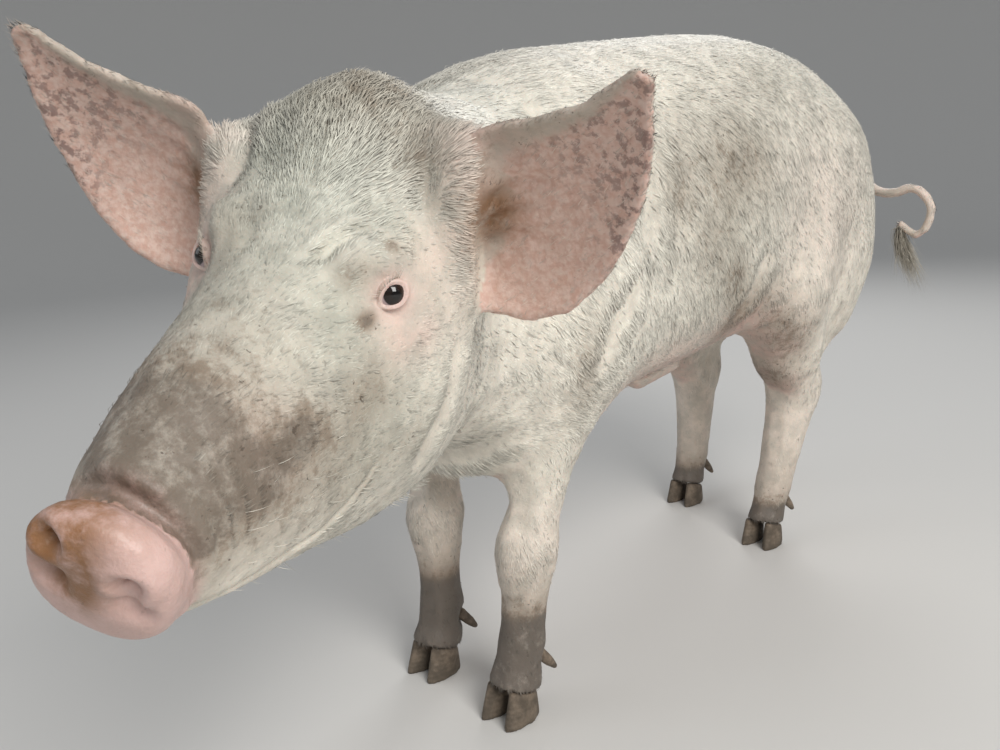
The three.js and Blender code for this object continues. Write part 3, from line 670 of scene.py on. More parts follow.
def on_ear(q, is_ear):
    """Where a point lies on the ear's leaf: from root to tip, and from the upper edge to the lower."""
    u, v = np.zeros(len(q)), np.zeros(len(q))
    for side in (1, -1):
        here = is_ear & (q[:, 0] * side > 0)
        along = EAR_TIPS[side] - EAR_ROOTS[side]
        across = unit(np.cross(along, EAR_FACING * (side, 1, 1))) * side
        u[here] = (q[here] - EAR_ROOTS[side]) @ along / (along @ along)
        down = (q[here] - EAR_ROOTS[side]) @ across
        strip = np.clip((u[here] * EAR_STRIPS).astype(int), 0, EAR_STRIPS)
        low, high = np.full(EAR_STRIPS + 1, 1.0), np.full(EAR_STRIPS + 1, -1.0)
        np.minimum.at(low, strip, down)
        np.maximum.at(high, strip, down)
        v[here] = (down - low[strip]) / np.maximum(high - low, 0.01)[strip]
    return u, v


def markings(points, out, parts):
    """Two colour masks: pink, mud with painted shade in the flank fold, grey; and bare ear, snout skin,
    brown stain.
    """
    q, p = in_head(points), points - trunk_at
    height = p[:, 2]
    names = np.array(flesh_nodes)[parts]
    is_ear, is_disc = np.char.endswith(names, "_ear"), names == "snout_disc"
    on_head = np.isin(names, ["snout_disc", "head"])
    fore = np.char.find(names, "fore") >= 0
    left = one_side(q)
    pink = mask(PINK, left, p) + 0.7 * steps(-0.3, -0.8, out[:, 2]) * (p[:, 1] > -0.3)
    pink = pink + 0.35 * is_ear + 0.5 * np.char.startswith(names, "tail") + 0.25 * steps(0.3, 0.2, height)
    feet = np.where(fore, steps(0.16, 0.08, height), steps(0.10, 0.03, height))
    shanks = np.where(fore, steps(0.24, 0.12, height), steps(0.2, 0.06, height))
    mud_and_fold_shade = np.minimum(mask(MUD_AND_FOLD_SHADE, q, p), MOST_MUD_AND_FOLD_SHADE) * ~is_disc + feet + 0.35 * shanks
    grey = mask(GREY, left, p) * ~is_ear
    facing = out @ head_turn
    inward = (facing * np.column_stack([np.sign(q[:, 0]), np.ones((len(q), 2))])) @ EAR_FACING
    u, v = on_ear(q, is_ear)
    inward = inward + 0.8 * steps(0.16, 0.02, u)
    bare = is_ear * steps(-0.05, 0.25, inward) * steps(0.1 + 0.1 * (1 - u), 0.16 + 0.12 * (1 - u), v)
    mud_and_fold_shade = mud_and_fold_shade + is_ear * (0.42 * steps(0.3, 0.1, v) + 0.2 * steps(0.9, 1.0, u))
    smudge = bare * (0.85 * steps(0.25, 0.7, u) + 0.6 * steps(0.75, 0.95, v) * steps(0.2, 0.5, u))
    grey = grey + smudge
    lower_ear = np.outer(q[:, 0] < 0, (EAR_ROOTS[1] - EAR_ROOTS[-1]) * (0, 0, 1))
    wax = 1.2 * blob(left + lower_ear, mm(107, 72, 26), mm(20, 30, 24))
    stain = (0.15 + blobs(STAINS, q)) * steps(-0.196, -0.206, q[:, 1]) * on_head
    lids = bump(np.linalg.norm(left - EYE - 0.008 * GAZE, axis=1), 0.0125)
    lilac = np.maximum(on_head * steps(-0.192, -0.204, q[:, 1]), lids)
    masks = (pink, mud_and_fold_shade, grey), (bare, lilac, wax + stain)
    return [np.clip(np.stack(three, 1), 0, 1) for three in masks]


def add_colour(mesh, name, values):
    layer = mesh.attributes.new(name, "FLOAT_COLOR", "POINT")
    opaque = np.column_stack([values, np.ones(len(values))])
    layer.data.foreach_set("color", opaque.astype(np.float32).ravel())


skin_points, skin_out = points_of(skin.data), normals_of(skin.data)
skin_parts = parts_at(skin_points)
skin_coat_marks, skin_bare_marks = markings(skin_points, skin_out, skin_parts)
add_colour(skin.data, "coat_marks", skin_coat_marks)
add_colour(skin.data, "bare_marks", skin_bare_marks)
print("markings: mean pink, mud, grey", skin_coat_marks.mean(0).round(2))

# %% [markdown]
# ## One set of colours for hide and bristles
# The masks say where, and noise in the object's own coordinates breaks their edges into the
# patches, speckles and streaks that dried mud makes; the painted shade in the flank fold, which
# lies in the mud mask, is broken up the same way. It is a node group, used by both materials.

# %% Node helpers
def new_material(name):
    material = bpy.data.materials.new(name)
    material.use_nodes = True
    return material, material.node_tree, material.node_tree.nodes["Principled BSDF"]


def node(tree, kind, **settings):
    made = tree.nodes.new("ShaderNode" + kind)
    for key, value in settings.items():
        if isinstance(value, bpy.types.NodeSocket):
            tree.links.new(value, made.inputs[key])
        elif key in made.inputs and not hasattr(made, key):
            made.inputs[key].default_value = value
        else:
            setattr(made, key, value)
    return made


def object_place(tree):
    return node(tree, "TexCoord").outputs["Object"]


def noise_at(tree, place, scale, detail=3.0, roughness=0.55):
    made = node(tree, "TexNoise", Scale=scale, Detail=detail, Roughness=roughness)
    tree.links.new(place, made.inputs["Vector"])
    return made.outputs["Fac"]


def remap(tree, value, low, high, to_low=0.0, to_high=1.0):
    made = node(tree, "MapRange", interpolation_type="SMOOTHSTEP")
    tree.links.new(value, made.inputs["Value"])
    for key, number in (("From Min", low), ("From Max", high), ("To Min", to_low), ("To Max", to_high)):
        made.inputs[key].default_value = number
    return made.outputs["Result"]


def maths(tree, operation, a, b):
    made = node(tree, "Math", operation=operation)
    for socket, value in zip(made.inputs, (a, b)):
        if isinstance(value, bpy.types.NodeSocket):
            tree.links.new(value, socket)
        else:
            socket.default_value = value
    return made.outputs["Value"]


def times(tree, a, b):
    return maths(tree, "MULTIPLY", a, b)


def blend_colour(tree, factor, a, b, how="MIX"):
    made = node(tree, "Mix", data_type="RGBA", blend_type=how)
    sockets = [s for s in made.inputs if s.enabled]
    for socket, value in zip(sockets, (factor, a, b)):
        if isinstance(value, bpy.types.NodeSocket):
            tree.links.new(value, socket)
        elif socket.type == "RGBA":
            socket.default_value = (*value, 1)
        else:
            socket.default_value = value
    return next(s for s in made.outputs if s.enabled)


def shaded(tree, colour, light):
    """The colour made darker or lighter: light is 1 where it stays as it is."""
    grey = node(tree, "CombineColor", Red=light, Green=light, Blue=light).outputs[0]
    return blend_colour(tree, 1.0, colour, grey, "MULTIPLY")


def bumpy(tree, shader, height, strength, distance):
    lumps = node(tree, "Bump", Strength=strength, Distance=distance)
    tree.links.new(height, lumps.inputs["Height"])
    tree.links.new(lumps.outputs["Normal"], shader.inputs["Normal"])


def attribute_parts(tree, name):
    split = node(tree, "SeparateColor")
    tree.links.new(node(tree, "Attribute", attribute_name=name).outputs["Color"], split.inputs["Color"])
    return split.outputs


# %% The pig's colours
CREAM, COOL, PINK_SKIN = (0.80, 0.765, 0.67), (0.55, 0.565, 0.485), (0.68, 0.49, 0.43)
# The mud colours also paint the shade in the fold before the hind leg, which lies in the mud mask.
DRY_MUD_AND_FOLD_SHADE, WET_MUD_AND_FOLD_SHADE, SPECK = (0.185, 0.135, 0.092), (0.075, 0.06, 0.047), (0.075, 0.055, 0.04)
EAR_INSIDE, EAR_LIGHT, EAR_DARK = (0.63, 0.41, 0.335), (0.73, 0.55, 0.475), (0.21, 0.135, 0.12)
STAIN, SNOUT_PINK = (0.25, 0.12, 0.05), (0.66, 0.46, 0.42)
UNDER_HAIR = (0.80, 0.68, 0.62)
MOST_COVER = 0.9


def pig_colours():
    tree = bpy.data.node_groups.new("pig_colours", "ShaderNodeTree")
    tree.interface.new_socket("Color", in_out="OUTPUT", socket_type="NodeSocketColor")
    place = object_place(tree)
    pink, mud_and_fold_shade, grey = attribute_parts(tree, "coat_marks")
    bare, lilac, stain = attribute_parts(tree, "bare_marks")
    broad, patchy = noise_at(tree, place, 9.0), noise_at(tree, place, 42.0, 5.0, 0.68)
    fine, dust = noise_at(tree, place, 210.0, 2.0), noise_at(tree, place, 130.0, 3.0, 0.7)

    def often(value, low, high, least):
        """A mask made uneven: strong where both it and the patchy noise are."""
        return times(tree, value, remap(tree, patchy, low, high, least))

    cool = times(tree, grey, remap(tree, broad, 0.3, 0.65, 0.5, 1.0))
    colour = blend_colour(tree, cool, CREAM, COOL)
    colour = blend_colour(tree, often(pink, 0.3, 0.65, 0.4), colour, PINK_SKIN)
    colour = shaded(tree, colour, remap(tree, patchy, 0.3, 0.7, 0.76, 1.05))
    ear = blend_colour(tree, remap(tree, fine, 0.3, 0.7), EAR_INSIDE, EAR_LIGHT)
    colour = blend_colour(tree, bare, colour, ear)
    spots = noise_at(tree, place, 120.0, 4.0, 0.65)
    smudges = times(tree, times(tree, bare, grey), remap(tree, spots, 0.48, 0.6, 0.15, 0.85))
    colour = blend_colour(tree, smudges, colour, EAR_DARK)
    colour = blend_colour(tree, lilac, colour, SNOUT_PINK)
    colour = blend_colour(tree, often(stain, 0.28, 0.6, 0.25), colour, STAIN)
    crumbs = noise_at(tree, place, 80.0, 6.0, 0.72)
    # Besides mud, this channel holds the painted shade of the flank fold, which is laid on in the same
    # way.
    caked = maths(tree, "ADD", mud_and_fold_shade, remap(tree, crumbs, 0.25, 0.75, -0.26, 0.26))
    dirt_and_fold_shade = blend_colour(tree, remap(tree, mud_and_fold_shade, 0.7, 1.0), DRY_MUD_AND_FOLD_SHADE, WET_MUD_AND_FOLD_SHADE)
    veil = times(tree, mud_and_fold_shade, remap(tree, broad, 0.3, 0.7, 0.65, 1.0))
    veil = maths(tree, "MINIMUM", veil, MOST_COVER)
    cover = maths(tree, "MAXIMUM", veil, remap(tree, caked, 0.1, 1.0, 0.0, MOST_COVER))
    colour = blend_colour(tree, cover, colour, dirt_and_fold_shade)
    near_mud_and_fold_shade = remap(tree, maths(tree, "ADD", mud_and_fold_shade, broad), 0.4, 1.0, 0.1, 0.75)
    specks = times(tree, remap(tree, dust, 0.65, 0.71), near_mud_and_fold_shade)
    colour = blend_colour(tree, specks, colour, SPECK)
    result = tree.nodes.new("NodeGroupOutput")
    tree.links.new(colour, result.inputs["Color"])
    return tree


colours = pig_colours()
print("colour group has", len(colours.nodes), "nodes")

# %% [markdown]
# ## The hide's finish
# Between the bristles the skin is a little darker and pinker than they are, soft and faintly
# greasy. Fine bumps give it pores. The snout disc is moist, so it is shinier there.

# %% Hide material
def hide_material():
    material, tree, shader = new_material("hide")
    place = object_place(tree)
    group = node(tree, "Group", node_tree=colours)
    under = blend_colour(tree, 0.25, group.outputs["Color"], UNDER_HAIR, "MULTIPLY")
    bare, lilac, _ = attribute_parts(tree, "bare_marks")
    bald = maths(tree, "MAXIMUM", bare, lilac)
    tree.links.new(blend_colour(tree, bald, under, group.outputs["Color"]), shader.inputs["Base Color"])
    tree.links.new(remap(tree, lilac, 0.3, 1.0, 0.62, 0.46), shader.inputs["Roughness"])
    pores = noise_at(tree, place, 420.0, 2.0)
    wrinkles = times(tree, noise_at(tree, place, 90.0), 2.0)
    bumpy(tree, shader, maths(tree, "ADD", pores, wrinkles), 0.35, 0.0012)
    shader.inputs["Subsurface Weight"].default_value = 0.12
    shader.inputs["Subsurface Radius"].default_value = (1.0, 0.45, 0.3)
    shader.inputs["Subsurface Scale"].default_value = 0.006
    return material


skin.data.materials.clear()
skin.data.materials.append(hide_material())
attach(skin, "root")
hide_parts(*flesh_nodes)
print("hide finished")

# %% [markdown]
# ## Eyes
# A pig's eye is small and dark: a brown iris that nearly fills the slit, a black pupil, and a
# clear bulge over both. A ball turned towards the gaze is enough, with its rings painted by the
# angle from the gaze, which each point keeps as an attribute.

# %% Eyeballs
CORNEA_ANGLE = 0.62
# Pupil, iris, the iris's dark edge and the white, by the angle from the gaze in radians
EYE_RINGS = [(0.0, (0.004, 0.003, 0.003)), (0.2, (0.003, 0.002, 0.002)),
    (0.26, (0.012, 0.007, 0.005)), (0.56, (0.014, 0.008, 0.006)), (0.64, (0.01, 0.007, 0.007)),
    (0.72, (0.42, 0.33, 0.34)), (1.0, (0.55, 0.42, 0.42))]


def eye_material():
    material, tree, shader = new_material("eye")
    ring = node(tree, "Attribute", attribute_name="ring").outputs["Fac"]
    ramp = node(tree, "ValToRGB")
    tree.links.new(ring, ramp.inputs["Fac"])
    while len(ramp.color_ramp.elements) < len(EYE_RINGS):
        ramp.color_ramp.elements.new(0.5)
    for element, (at, colour) in zip(ramp.color_ramp.elements, EYE_RINGS):
        element.position = at
        element.color = (*colour, 1)
    tree.links.new(ramp.outputs["Color"], shader.inputs["Base Color"])
    shader.inputs["Roughness"].default_value = 0.12
    shader.inputs["Specular IOR Level"].default_value = 0.25
    shader.inputs["Coat Weight"].default_value = 0.6
    shader.inputs["Coat Roughness"].default_value = 0.02
    return material


def eyeball(node_name, side, material):
    bm = bmesh.new()
    bmesh.ops.create_uvsphere(bm, u_segments=48, v_segments=40, radius=EYE_RADIUS)
    angles = []
    gaze = Vector(eye_axes(side)[0])
    aim = Vector((0, 0, 1)).rotation_difference(gaze)
    for v in bm.verts:
        angle = v.co.angle(Vector((0, 0, 1)))
        angles.append(angle)
        lift = 1 + 0.07 * (1 - min(angle / CORNEA_ANGLE, 1) ** 2) ** 2
        v.co = Vector(from_head(EYE * (side, 1, 1) + np.array(aim @ v.co) * lift))
    mesh = mesh_from(bm, node_name + "ball")
    rings = mesh.attributes.new("ring", "FLOAT", "POINT")
    rings.data.foreach_set("value", np.clip(angles, 0, 1).astype(np.float32))
    shade_smooth(mesh)
    piece = add_object(node_name + "ball", mesh)
    piece.data.materials.append(material)
    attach(piece, "root")
    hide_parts(node_name)
    return piece


eye_finish = eye_material()
eyeballs = [eyeball("left_eye", 1, eye_finish), eyeball("right_eye", -1, eye_finish)]
print("eyeballs", [piece.name for piece in eyeballs])

# %% [markdown]
# ## Hooves
# Each foot has two main claws and two small ones behind. The solids are plain prisms, so they
# are wrapped in a fine net as the hide was, rounded, and set flat on the floor again.

# %% Hooves
HOOF_GRAIN, HOOF_TURNS, SOLE = 0.0018, 7, 0.003
HORN, DARK_HORN, HOOF_MUD = (0.23, 0.175, 0.125), (0.10, 0.075, 0.055), (0.085, 0.068, 0.05)


def hoof_material():
    material, tree, shader = new_material("horn")
    place = object_place(tree)
    rings = node(tree, "TexWave", wave_type="BANDS", bands_direction="Z", Scale=55.0,
        Distortion=2.5, Detail=2.0)
    tree.links.new(place, rings.inputs["Vector"])
    stain = noise_at(tree, place, 60.0, 4.0, 0.65)
    horn = blend_colour(tree, remap(tree, stain, 0.3, 0.7), HORN, DARK_HORN)
    height = node(tree, "SeparateXYZ")
    tree.links.new(place, height.inputs["Vector"])
    low = remap(tree, height.outputs["Z"], 0.05, 0.0, 0.0, 0.5)
    caked = maths(tree, "ADD", low, remap(tree, stain, 0.3, 0.7, 0.0, 0.5))
    tree.links.new(blend_colour(tree, caked, horn, HOOF_MUD), shader.inputs["Base Color"])
    tree.links.new(remap(tree, stain, 0.3, 0.7, 0.55, 0.9), shader.inputs["Roughness"])
    rough = times(tree, stain, 3.0)
    bumpy(tree, shader, maths(tree, "ADD", rings.outputs["Fac"], rough), 0.4, 0.0006)
    return material


hooves = remeshed("hooves", claw_nodes, HOOF_GRAIN, swell=0.0)
before = points_of(hooves.data)
rounded = relax(before, edges_of(hooves.data), 0.6, HOOF_TURNS)
on_floor = before[:, 2] < SOLE
rounded[:, 2] = np.where(on_floor, np.maximum(before[:, 2], 0), rounded[:, 2])
rounded[:, 2] -= rounded[:, 2].min()
place_points(hooves.data, rounded)
shade_smooth(hooves.data)
hooves.data.materials.clear()
hooves.data.materials.append(hoof_material())
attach(hooves, "root")
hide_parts(*claw_nodes)
print("hooves have", triangles_in(hooves.data), "triangles")

# %% [markdown]
# ## The lie of the coat
# Bristles start at the snout and lean backwards over the face, neck and back, down the flanks and
# legs, and out along the ears and the tail. Each point gets such a direction from its part. The
# directions then flow into each other, as neighbouring hairs do, and are laid flat on the hide.

# %% Which way the hair lies
TAIL_PATH = mm([0, 494, 604], [14, 548, 598], [56, 578, 566], [108, 574, 520], [140, 566, 515],
    [171, 564, 523], [199, 563, 490], [180, 568, 448], [148, 574, 466])


def path_direction(points, path):
    spots = (path[:-1] + path[1:]) / 2
    nearest = ((points[:, None] - spots[None]) ** 2).sum(2).argmin(1)
    return unit(path[1:] - path[:-1])[nearest]


def lie_of_coat(points, out, parts):
    q, p = in_head(points), points - trunk_at
    names = np.array(flesh_nodes)[parts]
    down = steps(0.75, 0.2, out[:, 2]) * steps(0.3, 0.42, p[:, 2])
    lie = np.column_stack([0 * down, 1 - 0.25 * down, -0.75 * down])
    rear = steps(0.40, 0.5, p[:, 1])[:, None]
    lie = mix(lie, np.array([0, 0.1, -1.0]), rear * steps(-0.2, 0.3, out[:, 1:2]))
    legs = np.char.find(names, "_leg") >= 0
    lie[legs | (np.char.find(names, "_foot") >= 0)] = (0, 0.3, -1)
    lie[legs & (p[:, 1] > 0.3)] = (0, 0.15, -1)
    face = np.isin(names, ["head", "lower_jaw", "snout_disc"])
    swept = np.column_stack([q[:, 0] * 5, np.ones(len(q)), -0.25 * steps(0, 0.1, abs(q[:, 0]))])
    lie[face] = (unit(swept) @ head_turn.T)[face]
    neck = names == "neck"
    lie[neck] = unit(mix(head_turn[:, 1], lie, 0.6))[neck]
    ears = np.char.endswith(names, "_ear")
    to_left_tip, to_right_tip = (EAR_TIPS[s] - EAR_ROOTS[s] for s in (1, -1))
    outward = unit(np.where(q[:, :1] > 0, to_left_tip, to_right_tip)) @ head_turn.T
    lie[ears] = outward[ears]
    tail = names == "tail"
    lie[tail] = path_direction(p[tail], TAIL_PATH)
    return lie


def laid_flat(lie, out):
    return unit(lie - out * (lie * out).sum(1, keepdims=True))


skin_lie = relax(unit(lie_of_coat(skin_points, skin_out, skin_parts)), edges_of(skin.data), 0.8, 14)
skin_lie = laid_flat(skin_lie, skin_out)
print("lie found for", len(skin_lie), "points")

# %% [markdown]
# ## How long, how thick, how close
# Short and fine on the face and feet, longer on the trunk, longest on the crest of the neck, and
# hardly any inside the ears. Three numbers per part set this, and a few places differ: the lids,
# lips and nostrils are bare, and the crest stands up.

# %% Coat table: tufts per square cm, length and width in mm
COAT = {"disc": (0.1, 2.5, 0.4), "jaw": (24, 10, 0.9), "head": (27, 10, 0.9), "ear": (20, 6.5, 0.6),
    "neck": (14, 16, 1.25), "tail": (16, 9, 0.8), "sheath": (6, 9, 1.0), "_leg": (13, 12, 1.1),
    "_foot": (15, 8, 1.0), "": (13, 17, 1.2)}
# How steeply a tuft leaves the skin, in degrees, and how much more it does in some places
LIFT = {"body": 6.5, "face": 3, "poll": 34, "crest": 10, "ear": 8}


def parts_named(parts, *endings):
    fits = np.array([name.endswith(endings) for name in flesh_nodes])
    return fits[parts]


def coat_tables(points, out, parts, bare_marks):
    """Each point's tufts per square cm, their length and width in mm, and their lift in degrees."""
    q, p = in_head(points), points - trunk_at
    dense, long, wide = by_part(COAT, parts).T
    face = parts_named(parts, "head", "lower_jaw")
    eyes = np.linalg.norm(one_side(q) - EYE, axis=1)
    dense *= steps(0.0145, 0.024, eyes)
    long *= 0.55 + 0.45 * steps(0.015, 0.05, eyes)
    lip = abs(q[:, 2] - mouth_height(q[:, 1])) + 0.02 * steps(-0.05, -0.03, q[:, 1])
    dense *= steps(0.0015, 0.005, lip)
    muzzle = steps(-0.08, -0.19, q[:, 1]) * face
    dense *= 1 - 0.97 * muzzle * steps(-0.168, -0.19, q[:, 1])
    long *= 1 - 0.3 * muzzle
    wide *= 1 - 0.2 * muzzle
    poll = blob(q, mm(0, 85, 85), mm(70, 75, 55))
    crest = steps(0.05, 0.0, abs(p[:, 0])) * steps(0.5, 0.9, out[:, 2]) * steps(-0.15, -0.35, p[:, 1])
    long *= 1 + 1.35 * poll + 0.4 * crest
    inside = bare_marks[:, 0]
    dense *= 1 - 0.85 * inside
    long *= 1 + 0.5 * inside
    wide *= 1 - 0.3 * inside
    belly = steps(-0.3, -0.8, out[:, 2]) * (p[:, 1] > -0.3)
    dense *= 1 - 0.6 * belly
    lift = LIFT["body"] + LIFT["face"] * face + LIFT["poll"] * poll + LIFT["crest"] * crest
    return np.column_stack([dense, long, wide, lift + LIFT["ear"] * inside])


skin_coat = coat_tables(skin_points, skin_out, skin_parts, skin_bare_marks)
skin_coat = relax(skin_coat, edges_of(skin.data), 0.6, 3)
print("longest tuft", round(float(skin_coat[:, 1].max()), 1), "mm")

# %% [markdown]
# ## Flattening the hide
# Each tuft needs its own spot on the finished texture, so the hide is cut into patches and laid
# flat. The tufts take their root's place on this map, and the hide itself doesn't keep it.

# %% Unwrap the hide
def unwrap(piece):
    for other in bpy.data.objects:
        other.select_set(other == piece)
    bpy.context.view_layer.objects.active = piece
    bpy.ops.object.mode_set(mode="EDIT")
    bpy.ops.mesh.select_all(action="SELECT")
    bpy.ops.uv.smart_project(angle_limit=1.15, island_margin=0.002)
    bpy.ops.object.mode_set(mode="OBJECT")
    layer = piece.data.uv_layers.active
    flat = numbers(layer.data, "uv", 2)
    piece.data.uv_layers.remove(layer)
    return flat


skin.modifiers.new("triangles", "TRIANGULATE")
finish_mesh(skin)
skin_flat = unwrap(skin)
skin_corners = numbers(skin.data.polygons, "vertices", 3).astype(int)
print("unwrapped", len(skin_corners), "faces")

# %% [markdown]
# ## Sowing the tufts
# Roots are sown over the faces in proportion to area and density. One tuft is a flat spindle of
# three sides: it leaves the skin at its lift angle, is widest under half way, and bends back
# towards the body. Noise turns neighbouring tufts together, so they fall into locks, and about
# one in twenty stands up a little.

# %% Sow the roots
SQUARE_CM_PER_SQUARE_M = 1e4
INSIDE_EAR_ON_HAIR = 0.3


def sow():
    """Where each tuft is rooted, and what the hide says of that place."""
    corners = skin_points[skin_corners]
    two_sides = corners[:, 1] - corners[:, 0], corners[:, 2] - corners[:, 0]
    area = np.linalg.norm(np.cross(*two_sides), axis=1) / 2
    wanted = np.cumsum(area * SQUARE_CM_PER_SQUARE_M * skin_coat[skin_corners, 0].mean(1))
    count = int(wanted[-1])
    face = np.searchsorted(wanted, (np.arange(count) + rng.random(count)) / count * wanted[-1])
    a, b = rng.random((2, count))
    over = a + b > 1
    a[over], b[over] = 1 - a[over], 1 - b[over]
    weights = np.stack([1 - a - b, a, b], 1)

    def at_root(values):
        return (values[skin_corners[face]] * weights[:, :, None]).sum(1)

    return {"at": at_root(skin_points), "out": unit(at_root(skin_out)), "lie": at_root(skin_lie),
        "flat": (skin_flat.reshape(-1, 3, 2)[face] * weights[:, :, None]).sum(1),
        "size": at_root(skin_coat), "coat_marks": at_root(skin_coat_marks),
        "bare_marks": at_root(skin_bare_marks) * (INSIDE_EAR_ON_HAIR, 1, 1),
        "part": skin_parts[skin_corners[face, 0]]}


roots = sow()
print("sown", len(roots["at"]), "tufts")


# %% Shape the tufts
def triangle_mesh(name, vertices, triangles):
    mesh = bpy.data.meshes.new(name)
    mesh.vertices.add(len(vertices))
    mesh.vertices.foreach_set("co", vertices.astype(np.float32).ravel())
    mesh.loops.add(3 * len(triangles))
    mesh.loops.foreach_set("vertex_index", triangles.astype(np.int32).ravel())
    mesh.polygons.add(len(triangles))
    mesh.polygons.foreach_set("loop_start", np.arange(0, 3 * len(triangles), 3, dtype=np.int32))
    mesh.update(calc_edges=True)
    shade_smooth(mesh)
    return mesh


TUFT_FACES = np.array([[0, 1, 2], [0, 2, 3], [0, 3, 1], [1, 4, 2], [2, 4, 3], [3, 4, 1]])
TUFT_ALONG = np.array([0, 0.4, 0.4, 0.4, 1.0])
PER_TUFT = len(TUFT_ALONG)
ROOT_DEPTH = 0.0006
RAISED_SHARE = 0.05
PATCH = 0.003
TUFT_PATCH = PATCH * np.array([[-0.5, 0], [0, 0.5], [0, -0.5], [0.12, 0.05], [0.5, 0]])


def tuft_points(r):
    """Five points for each tuft: root, three round the widest place, and tip."""
    count = len(r["at"])
    long, wide, lift = r["size"][:, 1] / 1000, r["size"][:, 2] / 1000, np.radians(r["size"][:, 3])
    long = long * rng.uniform(0.65, 1.25, count)
    wide = wide * rng.uniform(0.7, 1.2, count)
    raised = rng.random(count) < RAISED_SHARE
    lift = lift * rng.uniform(0.55, 1.3, count)
    lift = lift + np.where(raised, np.radians(rng.uniform(5, 16, count)), 0)
    sway = 0.38 * ripple(r["at"], 0.028, 11.0) + 0.16 * rng.normal(size=count)
    across = np.cross(r["out"], r["lie"])
    lie = unit(r["lie"] * np.cos(sway)[:, None] + across * np.sin(sway)[:, None])
    across = np.cross(r["out"], lie)
    rise, fall = np.sin(lift)[:, None], np.sin(lift * 0.35 + 0.02)[:, None]
    base = r["at"] - r["out"] * ROOT_DEPTH
    mid = base + (lie * np.cos(lift)[:, None] + r["out"] * rise) * (0.4 * long)[:, None]
    tip = mid + unit(lie - r["out"] * fall * 0.8) * (0.6 * long)[:, None]
    half = (wide / 2)[:, None]
    ridge = mid + r["out"] * half * 0.35
    return np.stack([base, mid + across * half, mid - across * half, ridge, tip], 1)


def strand_values(count):
    """Brightness of each tuft, how far along it a point lies, and a spare number for each tuft."""
    tone, spare_number = rng.random(count), rng.random(count)
    each_tone, each_spare = np.repeat(tone, PER_TUFT), np.repeat(spare_number, PER_TUFT)
    return np.column_stack([each_tone, np.tile(TUFT_ALONG, count), each_spare])


def soft_normals(r):
    """Hair is lit much as the skin under it is, so its normals lean only a little sideways."""
    out, side = r["out"], np.cross(r["out"], r["lie"]) * 0.4
    return unit(np.stack([out, out + side, out - side, out, out], 1)).reshape(-1, 3)


def coat_piece(name, r, material):
    count = len(r["at"])
    vertices = tuft_points(r).reshape(-1, 3)
    triangles = (TUFT_FACES[None] + PER_TUFT * np.arange(count)[:, None, None]).reshape(-1, 3)
    mesh = triangle_mesh(name, vertices, triangles)
    flat = mesh.uv_layers.new(name="OFBake")
    middle_of_patch = np.clip(r["flat"], PATCH, 1 - PATCH)
    place = middle_of_patch[:, None] + TUFT_PATCH[TUFT_FACES.ravel()][None]
    flat.data.foreach_set("uv", place.astype(np.float32).ravel())
    for marks in ("coat_marks", "bare_marks"):
        add_colour(mesh, marks, np.repeat(r[marks], PER_TUFT, axis=0))
    add_colour(mesh, "strand", strand_values(count))
    mesh.normals_split_custom_set_from_vertices(soft_normals(r))
    piece = add_object(name, mesh)
    mesh.materials.append(material)
    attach(piece, "root")
    return piece


# %% Bristle material
def bristle_material():
    material, tree, shader = new_material("bristles")
    group = node(tree, "Group", node_tree=colours)
    tone, along, _ = attribute_parts(tree, "strand")
    each, root_to_tip = remap(tree, tone, 0, 1, 0.76, 1.13), remap(tree, along, 0, 0.7, 0.84, 1.05)
    light = times(tree, each, root_to_tip)
    tree.links.new(shaded(tree, group.outputs["Color"], light), shader.inputs["Base Color"])
    shader.inputs["Roughness"].default_value = 0.5
    shader.inputs["Specular IOR Level"].default_value = 0.35
    return material


bristles = bristle_material()
COAT_REGIONS = {"coat_head": ("head", "lower_jaw", "snout_disc"), "coat_ear": ("_ear",),
    "coat_neck": ("neck",), "coat_shoulders": ("shoulders",), "coat_barrel": ("barrel", "sheath"),
    "coat_rump": ("rump", "tail"), "coat_fore_leg": ("fore_leg", "fore_foot"),
    "coat_hind_leg": ("hind_leg", "hind_foot")}
MOST_TUFTS = 32000


def sow_pieces():
    made = []
    for region, endings in COAT_REGIONS.items():
        here = parts_named(roots["part"], *endings)
        if region in ("coat_head", "coat_ear"):
            left = in_head(roots["at"])[:, 0] > 0
        else:
            left = roots["at"][:, 0] > trunk_at[0]
        for side, chosen in (("left", here & left), ("right", here & ~left)):
            index = np.nonzero(chosen)[0]
            index = index[np.argsort(roots["at"][index, 2])]
            shares = np.array_split(index, -(-len(index) // MOST_TUFTS))
            for k, share in enumerate(shares):
                name = f"{side}_{region}" + (f"_{k + 1}" if len(shares) > 1 else "")
                made.append(coat_piece(name, {key: v[share] for key, v in roots.items()}, bristles))
    return made


coat = sow_pieces()
print(len(coat), "coat pieces, most triangles in one:", max(len(piece.data.polygons) for piece in coat))
print("coat triangles:", sum(len(piece.data.polygons) for piece in coat))

# %% [markdown]
# ## Long hairs
# The tuft of the tail, the lashes and the few whiskers are hairs that can be seen one by one. Each
# is a thin three-sided spike on a bent line: it starts under the skin and tapers to a point.

# %% Spikes
SPIKE_CORNERS = (0, 2.094, 4.189)


